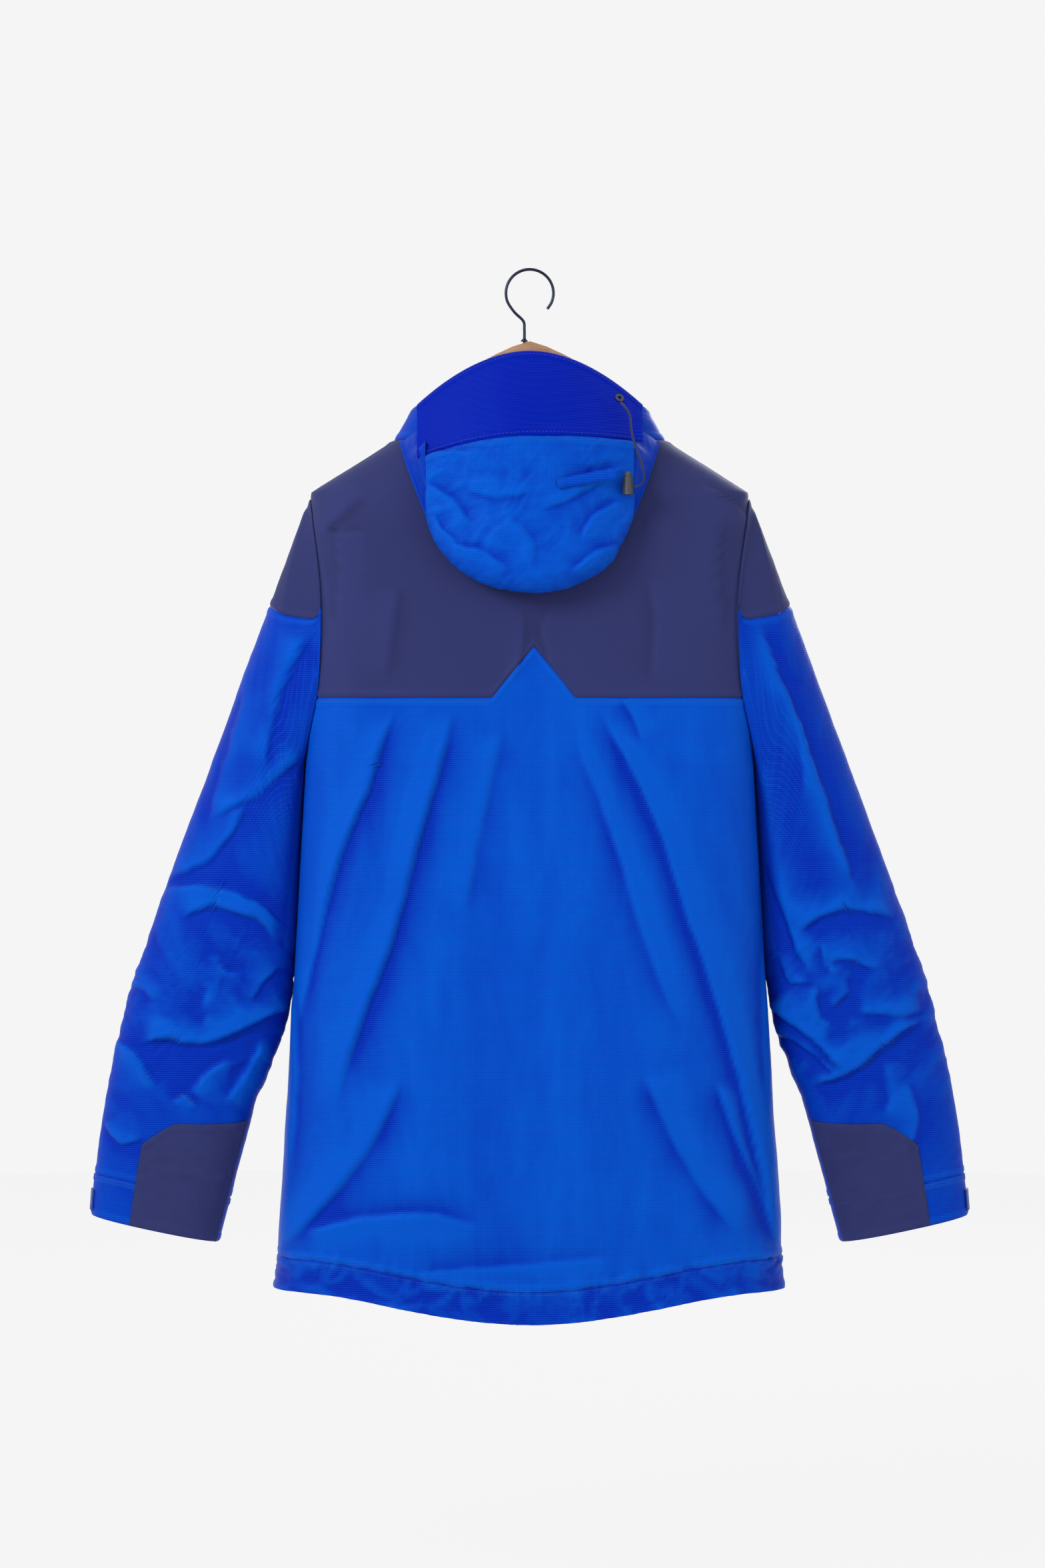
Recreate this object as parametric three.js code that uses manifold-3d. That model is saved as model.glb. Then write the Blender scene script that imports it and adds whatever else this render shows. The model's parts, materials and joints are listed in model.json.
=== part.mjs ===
// A hardshell jacket hanging on a wooden hanger, as an assembly of its panels, zips, cords and locks.
//
// Frame: millimetres, +Z up, the back of the jacket faces -Y and its front zip faces +Y.
// The origin is the inside top of the wire hook, where it bears on a rail.
// Every fabric panel is a thin closed sheet laid on one lofted body or sleeve surface.

import * as THREE from 'three';
import { mergeVertices } from 'three/addons/utils/BufferGeometryUtils.js';
import Module from 'manifold-3d';

// ---------------------------------------------------------------- driving dimensions

const wall = 1.0;               // thickness of a laminated panel with its lining
const seamGap = 0.8;            // space between two panels that a seam joins
const clearance = 0.5;          // space between pieces that lie on each other

// hanger
const wireDiameter = 2.8;
const hookInnerRadius = 21;
const stemX = -5;
const barTopZ = -66;
const barHalfSpan = 192;
const barHeight = 22;
const barCentreHalfDepth = 8;
const barEndHalfDepth = 17;
const barDrop = 6.5;            // how far the bar's top lies under the shoulder ridge
const ferruleRadius = 3.4;
const ferruleHeight = 2.4;
const stemDepth = 16;

// body of the jacket
const neckZ = -161;
const neckHalfWidth = 127;
const neckDepth = 50;
const shoulderZ = -211;
const shoulderHalfWidth = 205;
const chestHalfWidth = 203;
const chestDepth = 59;
const underarmZ = -468;
const underarmHalfWidth = 210;
const waistZ = -650;
const waistHalfWidth = 219;
const waistDepth = 66;
const hemZ = -983;              // lowest point of the dropped back hem
const hemHalfWidth = 240;
const hemDepth = 78;
const hemRise = 27;             // how much higher the hem is at the sides and front
const hemBand = 30;
const frontTopDepth = 40;       // the front runs straight from here to the hem's depth
const yokeSeamZ = -404;
const yokePeak = 48;            // height of the peak in the middle of the back yoke's seam
const yokePeakHalfWidth = 40;
const frontYokeSeamZ = -330;
const frontHalfGap = 9;         // half of the front opening that the zip fills

// collar
const collarTopZ = -101;
const collarTopHalfWidth = 92;
const collarTopDepth = 43;
const collarBackHeight = 42;
const collarSideHeight = 28;
const collarFrontHeight = 60;

// armhole and sleeve
const armholeTopZ = -216;
const armholeHalfDepth = 40;
const armholeCentreY = -4;
const sleeveOffset = 2.5;       // space between the side of the body and the sleeve
const upperArmLength = 437;
const upperArmAngle = 20.4;
const forearmLength = 270;
const forearmAngle = 11.5;
const elbowWidth = 143;
const elbowHalfDepth = 38;
const cuffWidth = 122;
const cuffHalfDepth = 29;
const sleeveCapLength = 107;
const elbowGap = 1.2;
const cuffBand = 40;
const sleeveHeadReach = 0.3;    // share of the upper arm over which the sleeve leaves the body's side
const sleeveSquareness = 2.3;

// hood
const hoodHalfWidth = 96;
const hoodOutlineHalfWidth = 101;
const hoodBottomZ = -307;
const hoodShoulderZ = -190;     // height at which the hood's outline is widest
const hoodMouthZ = -167;
const hoodDepth = 44;
const hoodSeamZ = -124;
const hoodStandoff = 3;
const hoodRoundness = 2.3;      // 2 is an elliptical outline, more is squarer
const brimTopZ = -83;
const brimHalfWidth = 104;
const brimWall = 2;

// zips, cords and locks
const zipHalfWidth = 2.4;
const zipThickness = 2.0;
const tapeHalfWidth = 13;
const sliderWidth = 10;
const sliderLength = 13;
const sliderThickness = 3;
const pullWidth = 6;
const pullLength = 34;
const pocketTop = [98, -560];
const pocketBottom = [122, -742];
const cordDiameter = 2.4;
const hoodCordDiameter = 2;
const lockRadius = 5;
const lockLength = 16;
const buttonTravel = 4;

// colours
const blue = 0x034fbe;
const deepBlue = 0x0317a0;
const navy = 0x353b71;
const black = 0x15171c;
const grey = 0x8c9096;
const wood = 0xac7e59;
const steel = 0x3a4050;

// ---------------------------------------------------------------- small helpers

const { abs, sign, cos, sin, sqrt, min, max, PI } = Math;
const rad = (degrees) => degrees * PI / 180;
const lerp = (a, b, t) => a + (b - a) * t;
const clamp = (value, low, high) => min(high, max(low, value));
const smooth = (t) => t * t * (3 - 2 * t);
const steps = (count) => Array.from({ length: count + 1 }, (_, i) => i / count);

const jacket = new THREE.Group();

function add(name, geometry, color, roughness = 0.8, metalness = 0) {
  const material = new THREE.MeshStandardMaterial({ color, roughness, metalness });
  const mesh = new THREE.Mesh(geometry, material);
  mesh.name = name;
  jacket.add(mesh);
  return mesh;
}

// A closed geometry from points and triangles, turned so that its faces point out.
function closedGeometry(points, triangles) {
  let volume = 0;
  const cross = new THREE.Vector3();
  for (const [a, b, c] of triangles) {
    volume += points[a].dot(cross.crossVectors(points[b], points[c]));
  }
  const order = volume < 0 ? triangles.map(([a, b, c]) => [a, c, b]) : triangles;
  const geometry = new THREE.BufferGeometry();
  geometry.setAttribute('position', new THREE.Float32BufferAttribute(points.flatMap((p) => p.toArray()), 3));
  geometry.setIndex(order.flat());
  geometry.computeVertexNormals();
  return geometry;
}

// A thin closed sheet around the surface point(u, v), with its rims closed. wrap joins the two u ends.
function sheet(point, columns, rows, thickness = wall, wrap = false) {
  const us = steps(columns);
  const vs = steps(rows);
  const count = wrap ? columns : columns + 1;
  const outer = [];
  const inner = [];
  const step = 1e-3;
  for (let i = 0; i < count; i += 1) {
    for (const v of vs) {
      const u = us[i];
      const here = point(u, v);
      const u0 = wrap ? u - step : max(0, u - step);
      const u1 = wrap ? u + step : min(1, u + step);
      const along = point(u1, v).sub(point(u0, v));
      const down = point(u, min(1, v + step)).sub(point(u, max(0, v - step)));
      const normal = along.cross(down).normalize().multiplyScalar(thickness / 2);
      outer.push(here.clone().add(normal));
      inner.push(here.clone().sub(normal));
    }
  }
  const points = [...outer, ...inner];
  const half = outer.length;
  const at = (i, j) => (i % count) * (rows + 1) + j;
  const triangles = [];
  const quad = (a, b, c, d) => triangles.push([a, b, c], [a, c, d]);
  for (let i = 0; i < columns; i += 1) {
    for (let j = 0; j < rows; j += 1) {
      quad(at(i, j), at(i, j + 1), at(i + 1, j + 1), at(i + 1, j));
      quad(half + at(i, j), half + at(i + 1, j), half + at(i + 1, j + 1), half + at(i, j + 1));
    }
    quad(at(i, 0), at(i + 1, 0), half + at(i + 1, 0), half + at(i, 0));
    quad(at(i + 1, rows), at(i, rows), half + at(i, rows), half + at(i + 1, rows));
  }
  if (!wrap) {
    for (let j = 0; j < rows; j += 1) {
      quad(at(0, j + 1), at(0, j), half + at(0, j), half + at(0, j + 1));
      quad(at(columns, j), at(columns, j + 1), half + at(columns, j + 1), half + at(columns, j));
    }
  }
  return closedGeometry(points, triangles);
}

// A closed tube of a many-sided section along a smooth curve through the points.
function tube(points, diameter, sides, segments) {
  const section = new THREE.Shape();
  for (let i = 0; i < sides; i += 1) {
    const angle = 2 * PI * i / sides;
    const [x, y] = [cos(angle) * diameter / 2, sin(angle) * diameter / 2];
    if (i === 0) section.moveTo(x, y);
    else section.lineTo(x, y);
  }
  const path = new THREE.CatmullRomCurve3(points, false, 'centripetal');
  return new THREE.ExtrudeGeometry(section, { steps: segments, extrudePath: path, bevelEnabled: false });
}

// A plate with the outline [x, z], its thickness along y.
function plate(outline, thickness, bevel = 0) {
  const shape = new THREE.Shape(outline.map(([x, z]) => new THREE.Vector2(x, z)));
  const options = { depth: thickness, bevelEnabled: bevel > 0, bevelSize: bevel, bevelThickness: bevel,
    bevelSegments: 1, curveSegments: 6 };
  const geometry = new THREE.ExtrudeGeometry(shape, options);
  geometry.rotateX(PI / 2);
  geometry.translate(0, thickness / 2, 0);
  return geometry;
}

// ---------------------------------------------------------------- body surface

// [height, half width, back depth, squareness of the section]
const bodyStations = [
  [collarTopZ, collarTopHalfWidth, collarTopDepth, 2.3],
  [neckZ, neckHalfWidth, neckDepth, 2.4],
  [shoulderZ, shoulderHalfWidth, chestDepth - 2, 3.2],
  [shoulderZ - 30, chestHalfWidth, chestDepth, 4.6],
  [yokeSeamZ, chestHalfWidth, chestDepth + 1, 5],
  [underarmZ, underarmHalfWidth, chestDepth + 2, 5],
  [waistZ, waistHalfWidth, waistDepth, 4.2],
  [hemZ, hemHalfWidth, hemDepth, 3],
];

function station(z) {
  const last = bodyStations.length - 1;
  let k = 0;
  while (k < last - 1 && z < bodyStations[k + 1][0]) k += 1;
  const [upper, lower] = [bodyStations[k], bodyStations[k + 1]];
  const t = clamp((z - upper[0]) / (lower[0] - upper[0]), 0, 1);
  return [1, 2, 3].map((i) => lerp(upper[i], lower[i], t));
}

const frontDepth = (z) => lerp(frontTopDepth, hemDepth, (z - collarTopZ) / (hemZ - collarTopZ));

// Point of the body at an angle round it (-90 degrees is the middle of the back) and a height.
function bodyPoint(angle, z, offset = 0) {
  const [halfWidth, backDepth, n] = station(z);
  const halfDepth = sin(angle) > 0 ? frontDepth(z) : backDepth;
  const [c, s] = [cos(angle), sin(angle)];
  const r = (abs(c) ** n + abs(s) ** n) ** (-1 / n);
  return new THREE.Vector3((halfWidth + offset) * c * r, (halfDepth + offset) * s * r, z);
}

// Angle round the body, from its side, at which the section at height z reaches the depth y.
function angleAtDepth(y, z) {
  const [, backDepth, n] = station(z);
  const share = abs(y) / (y > 0 ? frontDepth(z) : backDepth);
  return sign(y) * Math.atan(share / (1 - share ** n) ** (1 / n));
}

// Half of the angle that the front opening takes at height z.
function frontGapAngle(x, z) {
  const [halfWidth] = station(z);
  return x / halfWidth;
}

const bodyX = (y, z) => bodyPoint(angleAtDepth(y, z), z).x;

// Shares of an angle range that space points evenly along a typical section of the body.
function evenShares(start, end, columns) {
  const fine = steps(200).map((t) => bodyPoint(lerp(start, end, t), yokeSeamZ));
  const run = [0];
  for (let i = 1; i < fine.length; i += 1) run.push(run[i - 1] + fine[i].distanceTo(fine[i - 1]));
  return steps(columns).map((t) => {
    const target = t * run[run.length - 1];
    const k = clamp(run.findIndex((length) => length >= target), 1, 200);
    return (k - 1 + (target - run[k - 1]) / (run[k] - run[k - 1])) / 200;
  });
}

// Half depth of the armhole at height z, 0 outside it.
const armholeHalfHeight = (armholeTopZ - underarmZ) / 2;
const armholeMidZ = (armholeTopZ + underarmZ) / 2;
function armholeDepth(z) {
  const t = (z - armholeMidZ) / armholeHalfHeight;
  return abs(t) < 1 ? armholeHalfDepth * sqrt(1 - t * t) : 0;
}

// Side edge of a back panel (face -1) or a front panel (face 1), as an angle from the side of the body.
function sideEdge(face, z) {
  const y = armholeCentreY + face * (armholeDepth(z) + seamGap / 2);
  return angleAtDepth(y, z);
}

// A body panel between two heights, given as functions of x, over the back or one half of the front.
function bodyPanel({ face, side, top, bottom, columns, rows, offset = 0 }) {
  const start = face < 0 ? -PI + 0.05 : PI / 2;
  const end = face < 0 ? -0.05 : 0.05;
  const shares = evenShares(start, end, columns);
  return sheet((u, v) => {
    const k = min(columns - 1, Math.floor(u * columns));
    const w = lerp(shares[k], shares[k + 1], u * columns - k);
    const refX = bodyPoint(lerp(start, end, w), yokeSeamZ).x;
    const z = lerp(top(refX), bottom(refX), v);
    const edge = sideEdge(face, z);
    const from = face < 0 ? -PI - edge : PI / 2 - frontGapAngle(frontHalfGap, z);
    const point = bodyPoint(lerp(from, edge, w), z, offset);
    if (side < 0) point.x *= -1;
    return point;
  }, columns, rows);
}

const hemLine = (angle) => hemZ + hemRise * smooth(clamp(1 + sin(angle), 0, 1));
const hemAtX = (x) => hemZ + hemRise * smooth(clamp(abs(x) / chestHalfWidth, 0, 1)) ;

// The yoke's lower seam: level, with a pointed peak in the middle of the back.
const yokeSeam = (x) => yokeSeamZ + yokePeak * max(0, 1 - abs(x) / yokePeakHalfWidth);

// ---------------------------------------------------------------- body panels

function makeBody() {
  const half = seamGap / 2;
  add('back_yoke', bodyPanel({ face: -1, side: 1, columns: 22, rows: 8,
    top: () => neckZ - half, bottom: (x) => yokeSeam(x) + half }), navy);
  add('back_panel', bodyPanel({ face: -1, side: 1, columns: 22, rows: 10,
    top: (x) => yokeSeam(x) - half, bottom: (x) => hemAtX(x) + hemBand + half }), blue);
  for (const [label, side] of [['left', -1], ['right', 1]]) {
    add(`front_yoke_${label}`, bodyPanel({ face: 1, side, columns: 9, rows: 6,
      top: () => neckZ - half, bottom: () => frontYokeSeamZ + half }), navy);
    add(`front_panel_${label}`, bodyPanel({ face: 1, side, columns: 9, rows: 10,
      top: () => frontYokeSeamZ - half, bottom: () => hemZ + hemRise + hemBand + half }), blue);
  }
}

// The collar, open at the front where the zip fills it, higher at the front than at the sides.
function collarTop(angle) {
  const back = clamp(-sin(angle), 0, 1);
  const front = clamp(sin(angle), 0, 1);
  const height = collarSideHeight + (collarBackHeight - collarSideHeight) * back
    + (collarFrontHeight - collarSideHeight) * front ** 2;
  return neckZ + height;
}

// Angle that runs once round the body from one side of the front opening to the other.
function roundAngle(u, z) {
  const gap = frontGapAngle(frontHalfGap, z);
  return lerp(PI / 2 + gap, 2.5 * PI - gap, u);
}

function makeCollar() {
  add('collar', sheet((u, v) => {
    const top = collarTop(roundAngle(u, neckZ));
    const z = lerp(neckZ + seamGap / 2, top, v);
    return bodyPoint(roundAngle(u, z), z);
  }, 30, 3), blue);
}

function makeHem() {
  const shares = evenShares(PI / 2, 2.5 * PI, 36);
  const share = (u) => {
    const k = min(35, Math.floor(u * 36));
    return lerp(shares[k], shares[k + 1], u * 36 - k);
  };
  add('hem_band', sheet((u, v) => {
    const angle = roundAngle(share(u), hemZ);
    const x = bodyPoint(angle, yokeSeamZ).x;
    const low = sin(angle) > 0 ? hemZ + hemRise : hemAtX(x);
    const z = low + hemBand * (1 - v) - (seamGap / 2) * (1 - v);
    return bodyPoint(angle, z);
  }, 36, 2), blue);
}

// ---------------------------------------------------------------- sleeves

// Outer edge of the sleeve from the shoulder tip (t = 0) over the elbow (t = 1) to the cuff (t = 2).
const tipX = shoulderHalfWidth + sleeveOffset;
const elbowOuter = [tipX + upperArmLength * sin(rad(upperArmAngle)),
  armholeTopZ - upperArmLength * cos(rad(upperArmAngle))];
const cuffOuter = [elbowOuter[0] + forearmLength * sin(rad(forearmAngle)),
  elbowOuter[1] - forearmLength * cos(rad(forearmAngle))];
const forearmBow = 9;           // how far the forearm's outer edge bows outwards

function outerEdge(t) {
  if (t <= 1) return [lerp(tipX, elbowOuter[0], t), lerp(armholeTopZ, elbowOuter[1], t)];
  const s = t - 1;
  const bow = forearmBow * 4 * s * (1 - s);
  return [lerp(elbowOuter[0], cuffOuter[0], s) + bow, lerp(elbowOuter[1], cuffOuter[1], s)];
}

const ringTilt = rad(7);
const cuffTilt = rad(12);
const elbowInner = [elbowOuter[0] - elbowWidth * cos(ringTilt), elbowOuter[1] - elbowWidth * sin(ringTilt)];
const cuffInner = [cuffOuter[0] - cuffWidth * cos(cuffTilt), cuffOuter[1] - cuffWidth * sin(cuffTilt)];

function innerEdge(t) {
  if (t <= 1) {
    const z = lerp(underarmZ, elbowInner[1], t);
    const [halfWidth] = station(z);
    return [max(halfWidth + sleeveOffset, lerp(tipX, elbowInner[0], t)), z];
  }
  const s = t - 1;
  return [lerp(max(elbowInner[0], innerEdge(1)[0]), cuffInner[0], s), lerp(elbowInner[1], cuffInner[1], s)];
}

const sleeveHalfDepth = (t) => (t <= 1
  ? lerp(armholeHalfDepth, elbowHalfDepth, t)
  : lerp(elbowHalfDepth, cuffHalfDepth, t - 1));
const sleeveCentreY = (t) => armholeCentreY + 7 * t;

// Point of the sleeve: around = 0 at its outer edge, +90 degrees on its front, t along it.
function sleevePoint(side, around, t, offset = 0) {
  const [ox, oz] = outerEdge(t);
  const [ix, iz] = innerEdge(t);
  const [c, s] = [cos(around), sin(around)];
  const k = 2 / sleeveSquareness;
  const across = sign(c) * abs(c) ** k;
  const deep = sign(s) * abs(s) ** k;
  const length = Math.hypot(ox - ix, oz - iz);
  const stretch = (length / 2 + offset) / (length / 2);
  const y = sleeveCentreY(t) + (sleeveHalfDepth(t) + offset) * deep;
  const z = (oz + iz) / 2 + stretch * across * (oz - iz) / 2;
  let x = (ox + ix) / 2 + stretch * across * (ox - ix) / 2;
  if (t < 0.5) {
    const bodyDepth = clamp(y, -station(z)[1] * 0.97, frontDepth(z) * 0.97);
    const head = bodyX(bodyDepth, z) + sleeveOffset;
    const reach = sleeveHeadReach * (1 - 0.9 * max(0, c) ** 2);
    x = lerp(head, x, smooth(clamp(t / reach, 0, 1)));
  }
  return new THREE.Vector3(side * x, y, z);
}

// The seam under the navy sleeve cap: deepest at the outer edge, dying out at the armhole.
const capShare = sleeveCapLength / upperArmLength;
const ringColumns = 22;
const capColumns = 10;
const capEnd = PI * capColumns / ringColumns;
const capSeam = (around) => capShare * max(0.015, 1 - (around / capEnd) ** 2) ** 0.6;
const wrapAngle = (angle) => ((angle + PI) % (2 * PI) + 2 * PI) % (2 * PI) - PI;

function makeSleeve(label, side) {
  const alongUpper = seamGap / upperArmLength;
  const alongLower = seamGap / forearmLength;
  const elbowStart = 1 + elbowGap / forearmLength;
  const cuffStart = 2 - cuffBand / forearmLength;
  add(`sleeve_cap_${label}`, sheet((u, v) => {
    const around = lerp(-capEnd, capEnd, u);
    return sleevePoint(side, around, v * (capSeam(around) - alongUpper));
  }, capColumns, 4), navy);
  add(`upper_sleeve_${label}`, sheet((u, v) => {
    const around = wrapAngle(2 * PI * u);
    const top = abs(around) < capEnd + 0.01 ? capSeam(around) : 0;
    return sleevePoint(side, around, lerp(top, 1, v));
  }, ringColumns, 7, wall, true), blue);
  add(`forearm_${label}`, sheet((u, v) => (
    sleevePoint(side, 2 * PI * u, lerp(elbowStart, cuffStart - alongLower, v))
  ), 20, 5, wall, true), blue);
  add(`cuff_${label}`, sheet((u, v) => (
    sleevePoint(side, 2 * PI * u, lerp(cuffStart, 2, v))
  ), 20, 1, wall, true), blue);
  add(`forearm_patch_${label}`, sheet((u, v) => (
    sleevePoint(side, lerp(-9 * ringStep, -4 * ringStep, u), lerp(patchTop, patchBottom, v), patchLift)
  ), 5, 4), navy);
  add(`cuff_tab_${label}`, sheet((u, v) => (
    sleevePoint(side, lerp(-ringStep, 3 * ringStep, u), lerp(tabTop, tabBottom, v), tabLift)
  ), 4, 1, tabWall), deepBlue);
}

// The forearm patch and the cuff tab share the forearm's own division round the sleeve.
const ringStep = 2 * PI / 20;
const patchTop = 1.6;
const patchBottom = 1.985;
const patchLift = wall + 2 * clearance;
const tabTop = 1.91;
const tabBottom = 1.985;
const tabWall = 1.6;
const tabLift = wall / 2 + tabWall / 2 + 2 * clearance;

// ---------------------------------------------------------------- hood

const hoodOutline = (x) => {
  const share = clamp(abs(x) / hoodOutlineHalfWidth, 0, 1);
  return hoodShoulderZ + (hoodBottomZ - hoodShoulderZ) * (1 - share ** hoodRoundness) ** (1 / hoodRoundness);
};
const hoodInnerY = (x, z) => -(bodyDepthAt(x, z) + hoodStandoff);
const hoodDepthAt = (x) => hoodDepth * (1 - 0.28 * (x / hoodOutlineHalfWidth) ** 2);
const hoodOuterY = (x) => hoodInnerY(x, hoodMouthZ) - hoodDepthAt(x);

// Depth of the back of the body at x, for a height at or under the collar.
function bodyDepthAt(x, z) {
  const [halfWidth, backDepth, n] = station(z);
  const share = min(0.96, abs(x) / halfWidth);
  return backDepth * (1 - share ** n) ** (1 / n);
}

// The crown is one sling of cloth: down its outer face, round the bottom and up the inner face.
function hoodSling(x, v) {
  const bottom = hoodOutline(x);
  const depth = hoodDepthAt(x);
  const radius = depth / 2;
  const turnZ = bottom + radius;
  const outerY = hoodOuterY(x);
  const lowInnerY = hoodInnerY(x, turnZ);
  if (v < 0.35) return [lerp(outerY, outerY - 2, v / 0.35), lerp(hoodMouthZ - seamGap, turnZ, v / 0.35)];
  if (v > 0.65) {
    const z = lerp(turnZ, hoodSeamZ, (v - 0.65) / 0.35);
    return [hoodInnerY(x, z), z];
  }
  const angle = PI * (v - 0.35) / 0.3;
  const middle = (outerY - 2 + lowInnerY) / 2;
  const half = (lowInnerY - outerY + 2) / 2;
  return [middle - half * cos(angle), turnZ - radius * sin(angle)];
}

function brimPoint(x, v, offset = 0) {
  const share = x / brimHalfWidth;
  const low = hoodMouthZ + 2 * seamGap - 10 * share ** 2;
  const high = brimTopZ - 48 * abs(share) ** 1.9;
  const lowY = hoodOuterY(clamp(x, -hoodHalfWidth, hoodHalfWidth)) + 8 * share ** 2;
  const highY = -(collarTopDepth + 17) + 14 * share ** 2;
  return new THREE.Vector3(x, lerp(lowY, highY, v ** 1.2) - offset, lerp(low, high, v));
}

function makeHood() {
  add('hood_crown', sheet((u, v) => {
    const x = hoodHalfWidth * sin(lerp(-1, 1, u) * rad(80)) / sin(rad(80));
    const [y, z] = hoodSling(x, v);
    return new THREE.Vector3(x, y, z);
  }, 16, 14), blue);
  for (const [label, side] of [['left', -1], ['right', 1]]) {
    const x = side * (hoodHalfWidth + clearance + wall);
    const edge = steps(14).map((v) => hoodSling(hoodHalfWidth, v)).filter(([, z]) => z < hoodMouthZ - 2);
    const outline = edge.map(([y, z]) => [y, z]);
    const gusset = plate(outline, wall);
    gusset.rotateZ(PI / 2);
    gusset.translate(x, 0, 0);
    add(`hood_side_${label}`, gusset, blue);
  }
  add('hood_brim', sheet((u, v) => brimPoint(lerp(-brimHalfWidth, brimHalfWidth, u), v), 16, 4, brimWall), deepBlue);
  const adjusterLift = wall / 2 + adjusterThickness / 2 + clearance + 0.5;
  const adjuster = new THREE.BoxGeometry(adjusterLength, adjusterThickness, adjusterHeight);
  adjuster.rotateY(-rad(10));
  adjuster.translate(adjusterX, hoodOuterY(adjusterX / 2) - adjusterLift - 2, adjusterZ);
  add('hood_adjuster', adjuster, blue);
}

const adjusterLength = 54;
const adjusterHeight = 9;
const adjusterThickness = 2;
const adjusterX = 52;
const adjusterZ = -204;

// ---------------------------------------------------------------- hanger

// Height of the bar's top: a peak at the hook, then under the collar and along the shoulder ridge.
const shoulderSlope = (neckZ - shoulderZ) / (shoulderHalfWidth - neckHalfWidth);
const barTop = new THREE.CatmullRomCurve3([
  new THREE.Vector3(-20, 0, barTopZ),
  new THREE.Vector3(0, 0, barTopZ),
  new THREE.Vector3(35, 0, barTopZ - 14),
  new THREE.Vector3(80, 0, barTopZ - 43),
  new THREE.Vector3(neckHalfWidth - 17, 0, neckZ + 15),
  new THREE.Vector3(neckHalfWidth + 3, 0, neckZ - barDrop - 3 * shoulderSlope),
  new THREE.Vector3(barHalfSpan, 0, neckZ - barDrop - (barHalfSpan - neckHalfWidth) * shoulderSlope),
], false, 'centripetal').getPoints(120);

function barTopAt(x) {
  const k = clamp(barTop.findIndex((p) => p.x >= abs(x)), 1, barTop.length - 1);
  const [a, b] = [barTop[k - 1], barTop[k]];
  return lerp(a.z, b.z, clamp((abs(x) - a.x) / (b.x - a.x), 0, 1));
}

function manifoldOf(wasm, geometry) {
  const bare = geometry.clone();
  bare.deleteAttribute('normal');
  bare.deleteAttribute('uv');
  const merged = mergeVertices(bare, 1e-4);
  return new wasm.Manifold(new wasm.Mesh({ numProp: 3,
    vertProperties: new Float32Array(merged.attributes.position.array),
    triVerts: new Uint32Array(merged.index.array) }));
}

function geometryOf(manifold) {
  const mesh = manifold.getMesh();
  const geometry = new THREE.BufferGeometry();
  geometry.setAttribute('position', new THREE.Float32BufferAttribute(mesh.vertProperties, 3));
  geometry.setIndex(Array.from(mesh.triVerts));
  geometry.computeVertexNormals();
  return geometry;
}

async function makeHanger() {
  const wasm = await Module();
  wasm.setup();
  const ringSides = 10;
  const sections = 24;
  const points = [];
  const triangles = [];
  for (let i = 0; i <= sections; i += 1) {
    const x = lerp(-barHalfSpan, barHalfSpan, i / sections);
    const reach = abs(x) / barHalfSpan;
    const ending = sqrt(max(0.12, 1 - max(0, (reach - 0.9) / 0.1) ** 2));
    const halfY = lerp(barCentreHalfDepth, barEndHalfDepth, smooth(reach)) * ending;
    const halfZ = barHeight / 2 * lerp(1, 0.6, reach) * ending;
    const centreZ = barTopAt(x) - halfZ;
    for (let j = 0; j < ringSides; j += 1) {
      const angle = 2 * PI * j / ringSides;
      points.push(new THREE.Vector3(x, halfY * cos(angle), centreZ + halfZ * sin(angle)));
    }
  }
  const at = (i, j) => i * ringSides + (j % ringSides);
  for (let i = 0; i < sections; i += 1) {
    for (let j = 0; j < ringSides; j += 1) {
      triangles.push([at(i, j), at(i + 1, j), at(i + 1, j + 1)], [at(i, j), at(i + 1, j + 1), at(i, j + 1)]);
    }
  }
  for (let j = 1; j < ringSides - 1; j += 1) {
    triangles.push([at(0, 0), at(0, j), at(0, j + 1)], [at(sections, 0), at(sections, j + 1), at(sections, j)]);
  }
  const bore = new THREE.CylinderGeometry(wireDiameter / 2 + 0.4, wireDiameter / 2 + 0.4, stemDepth * 2, 12);
  bore.rotateX(PI / 2);
  bore.translate(stemX, 0, barTopZ);
  const seat = new THREE.BoxGeometry(2 * ferruleRadius + 2, 40, 10);
  seat.translate(stemX, 0, barTopZ + 4);
  const bar = manifoldOf(wasm, closedGeometry(points, triangles))
    .subtract(manifoldOf(wasm, bore))
    .subtract(manifoldOf(wasm, seat));
  add('hanger_bar', geometryOf(bar), wood, 0.5);

  const inner = wireDiameter / 2 + 0.4;
  const profile = [[inner, 0], [ferruleRadius, 0], [ferruleRadius, ferruleHeight * 0.4],
    [ferruleRadius * 0.6, ferruleHeight], [inner, ferruleHeight], [inner, 0]];
  const ferrule = new THREE.LatheGeometry(profile.map(([r, h]) => new THREE.Vector2(r, h)), 16);
  ferrule.rotateX(PI / 2);
  ferrule.translate(stemX, 0, barTopZ - 1 + 0.3);
  add('hanger_ferrule', ferrule, steel, 0.35, 0.9);

  const radius = hookInnerRadius + wireDiameter / 2;
  const centreZ = -hookInnerRadius;
  const wire = [];
  for (let degrees = -42; degrees <= 205; degrees += 19) {
    wire.push(new THREE.Vector3(radius * cos(rad(degrees)), 0, centreZ + radius * sin(rad(degrees))));
  }
  wire.push(new THREE.Vector3(stemX - 9, 0, centreZ - radius + 4));
  wire.push(new THREE.Vector3(stemX - 1, 0, centreZ - radius - 4));
  wire.push(new THREE.Vector3(stemX, 0, centreZ - radius - 12));
  wire.push(new THREE.Vector3(stemX, 0, barTopZ + ferruleHeight));
  wire.push(new THREE.Vector3(stemX, 0, barTopZ - stemDepth + 1));
  add('hanger_hook', tube(wire, wireDiameter, 8, 44), steel, 0.3, 0.9);
}

// ---------------------------------------------------------------- front zip

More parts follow.
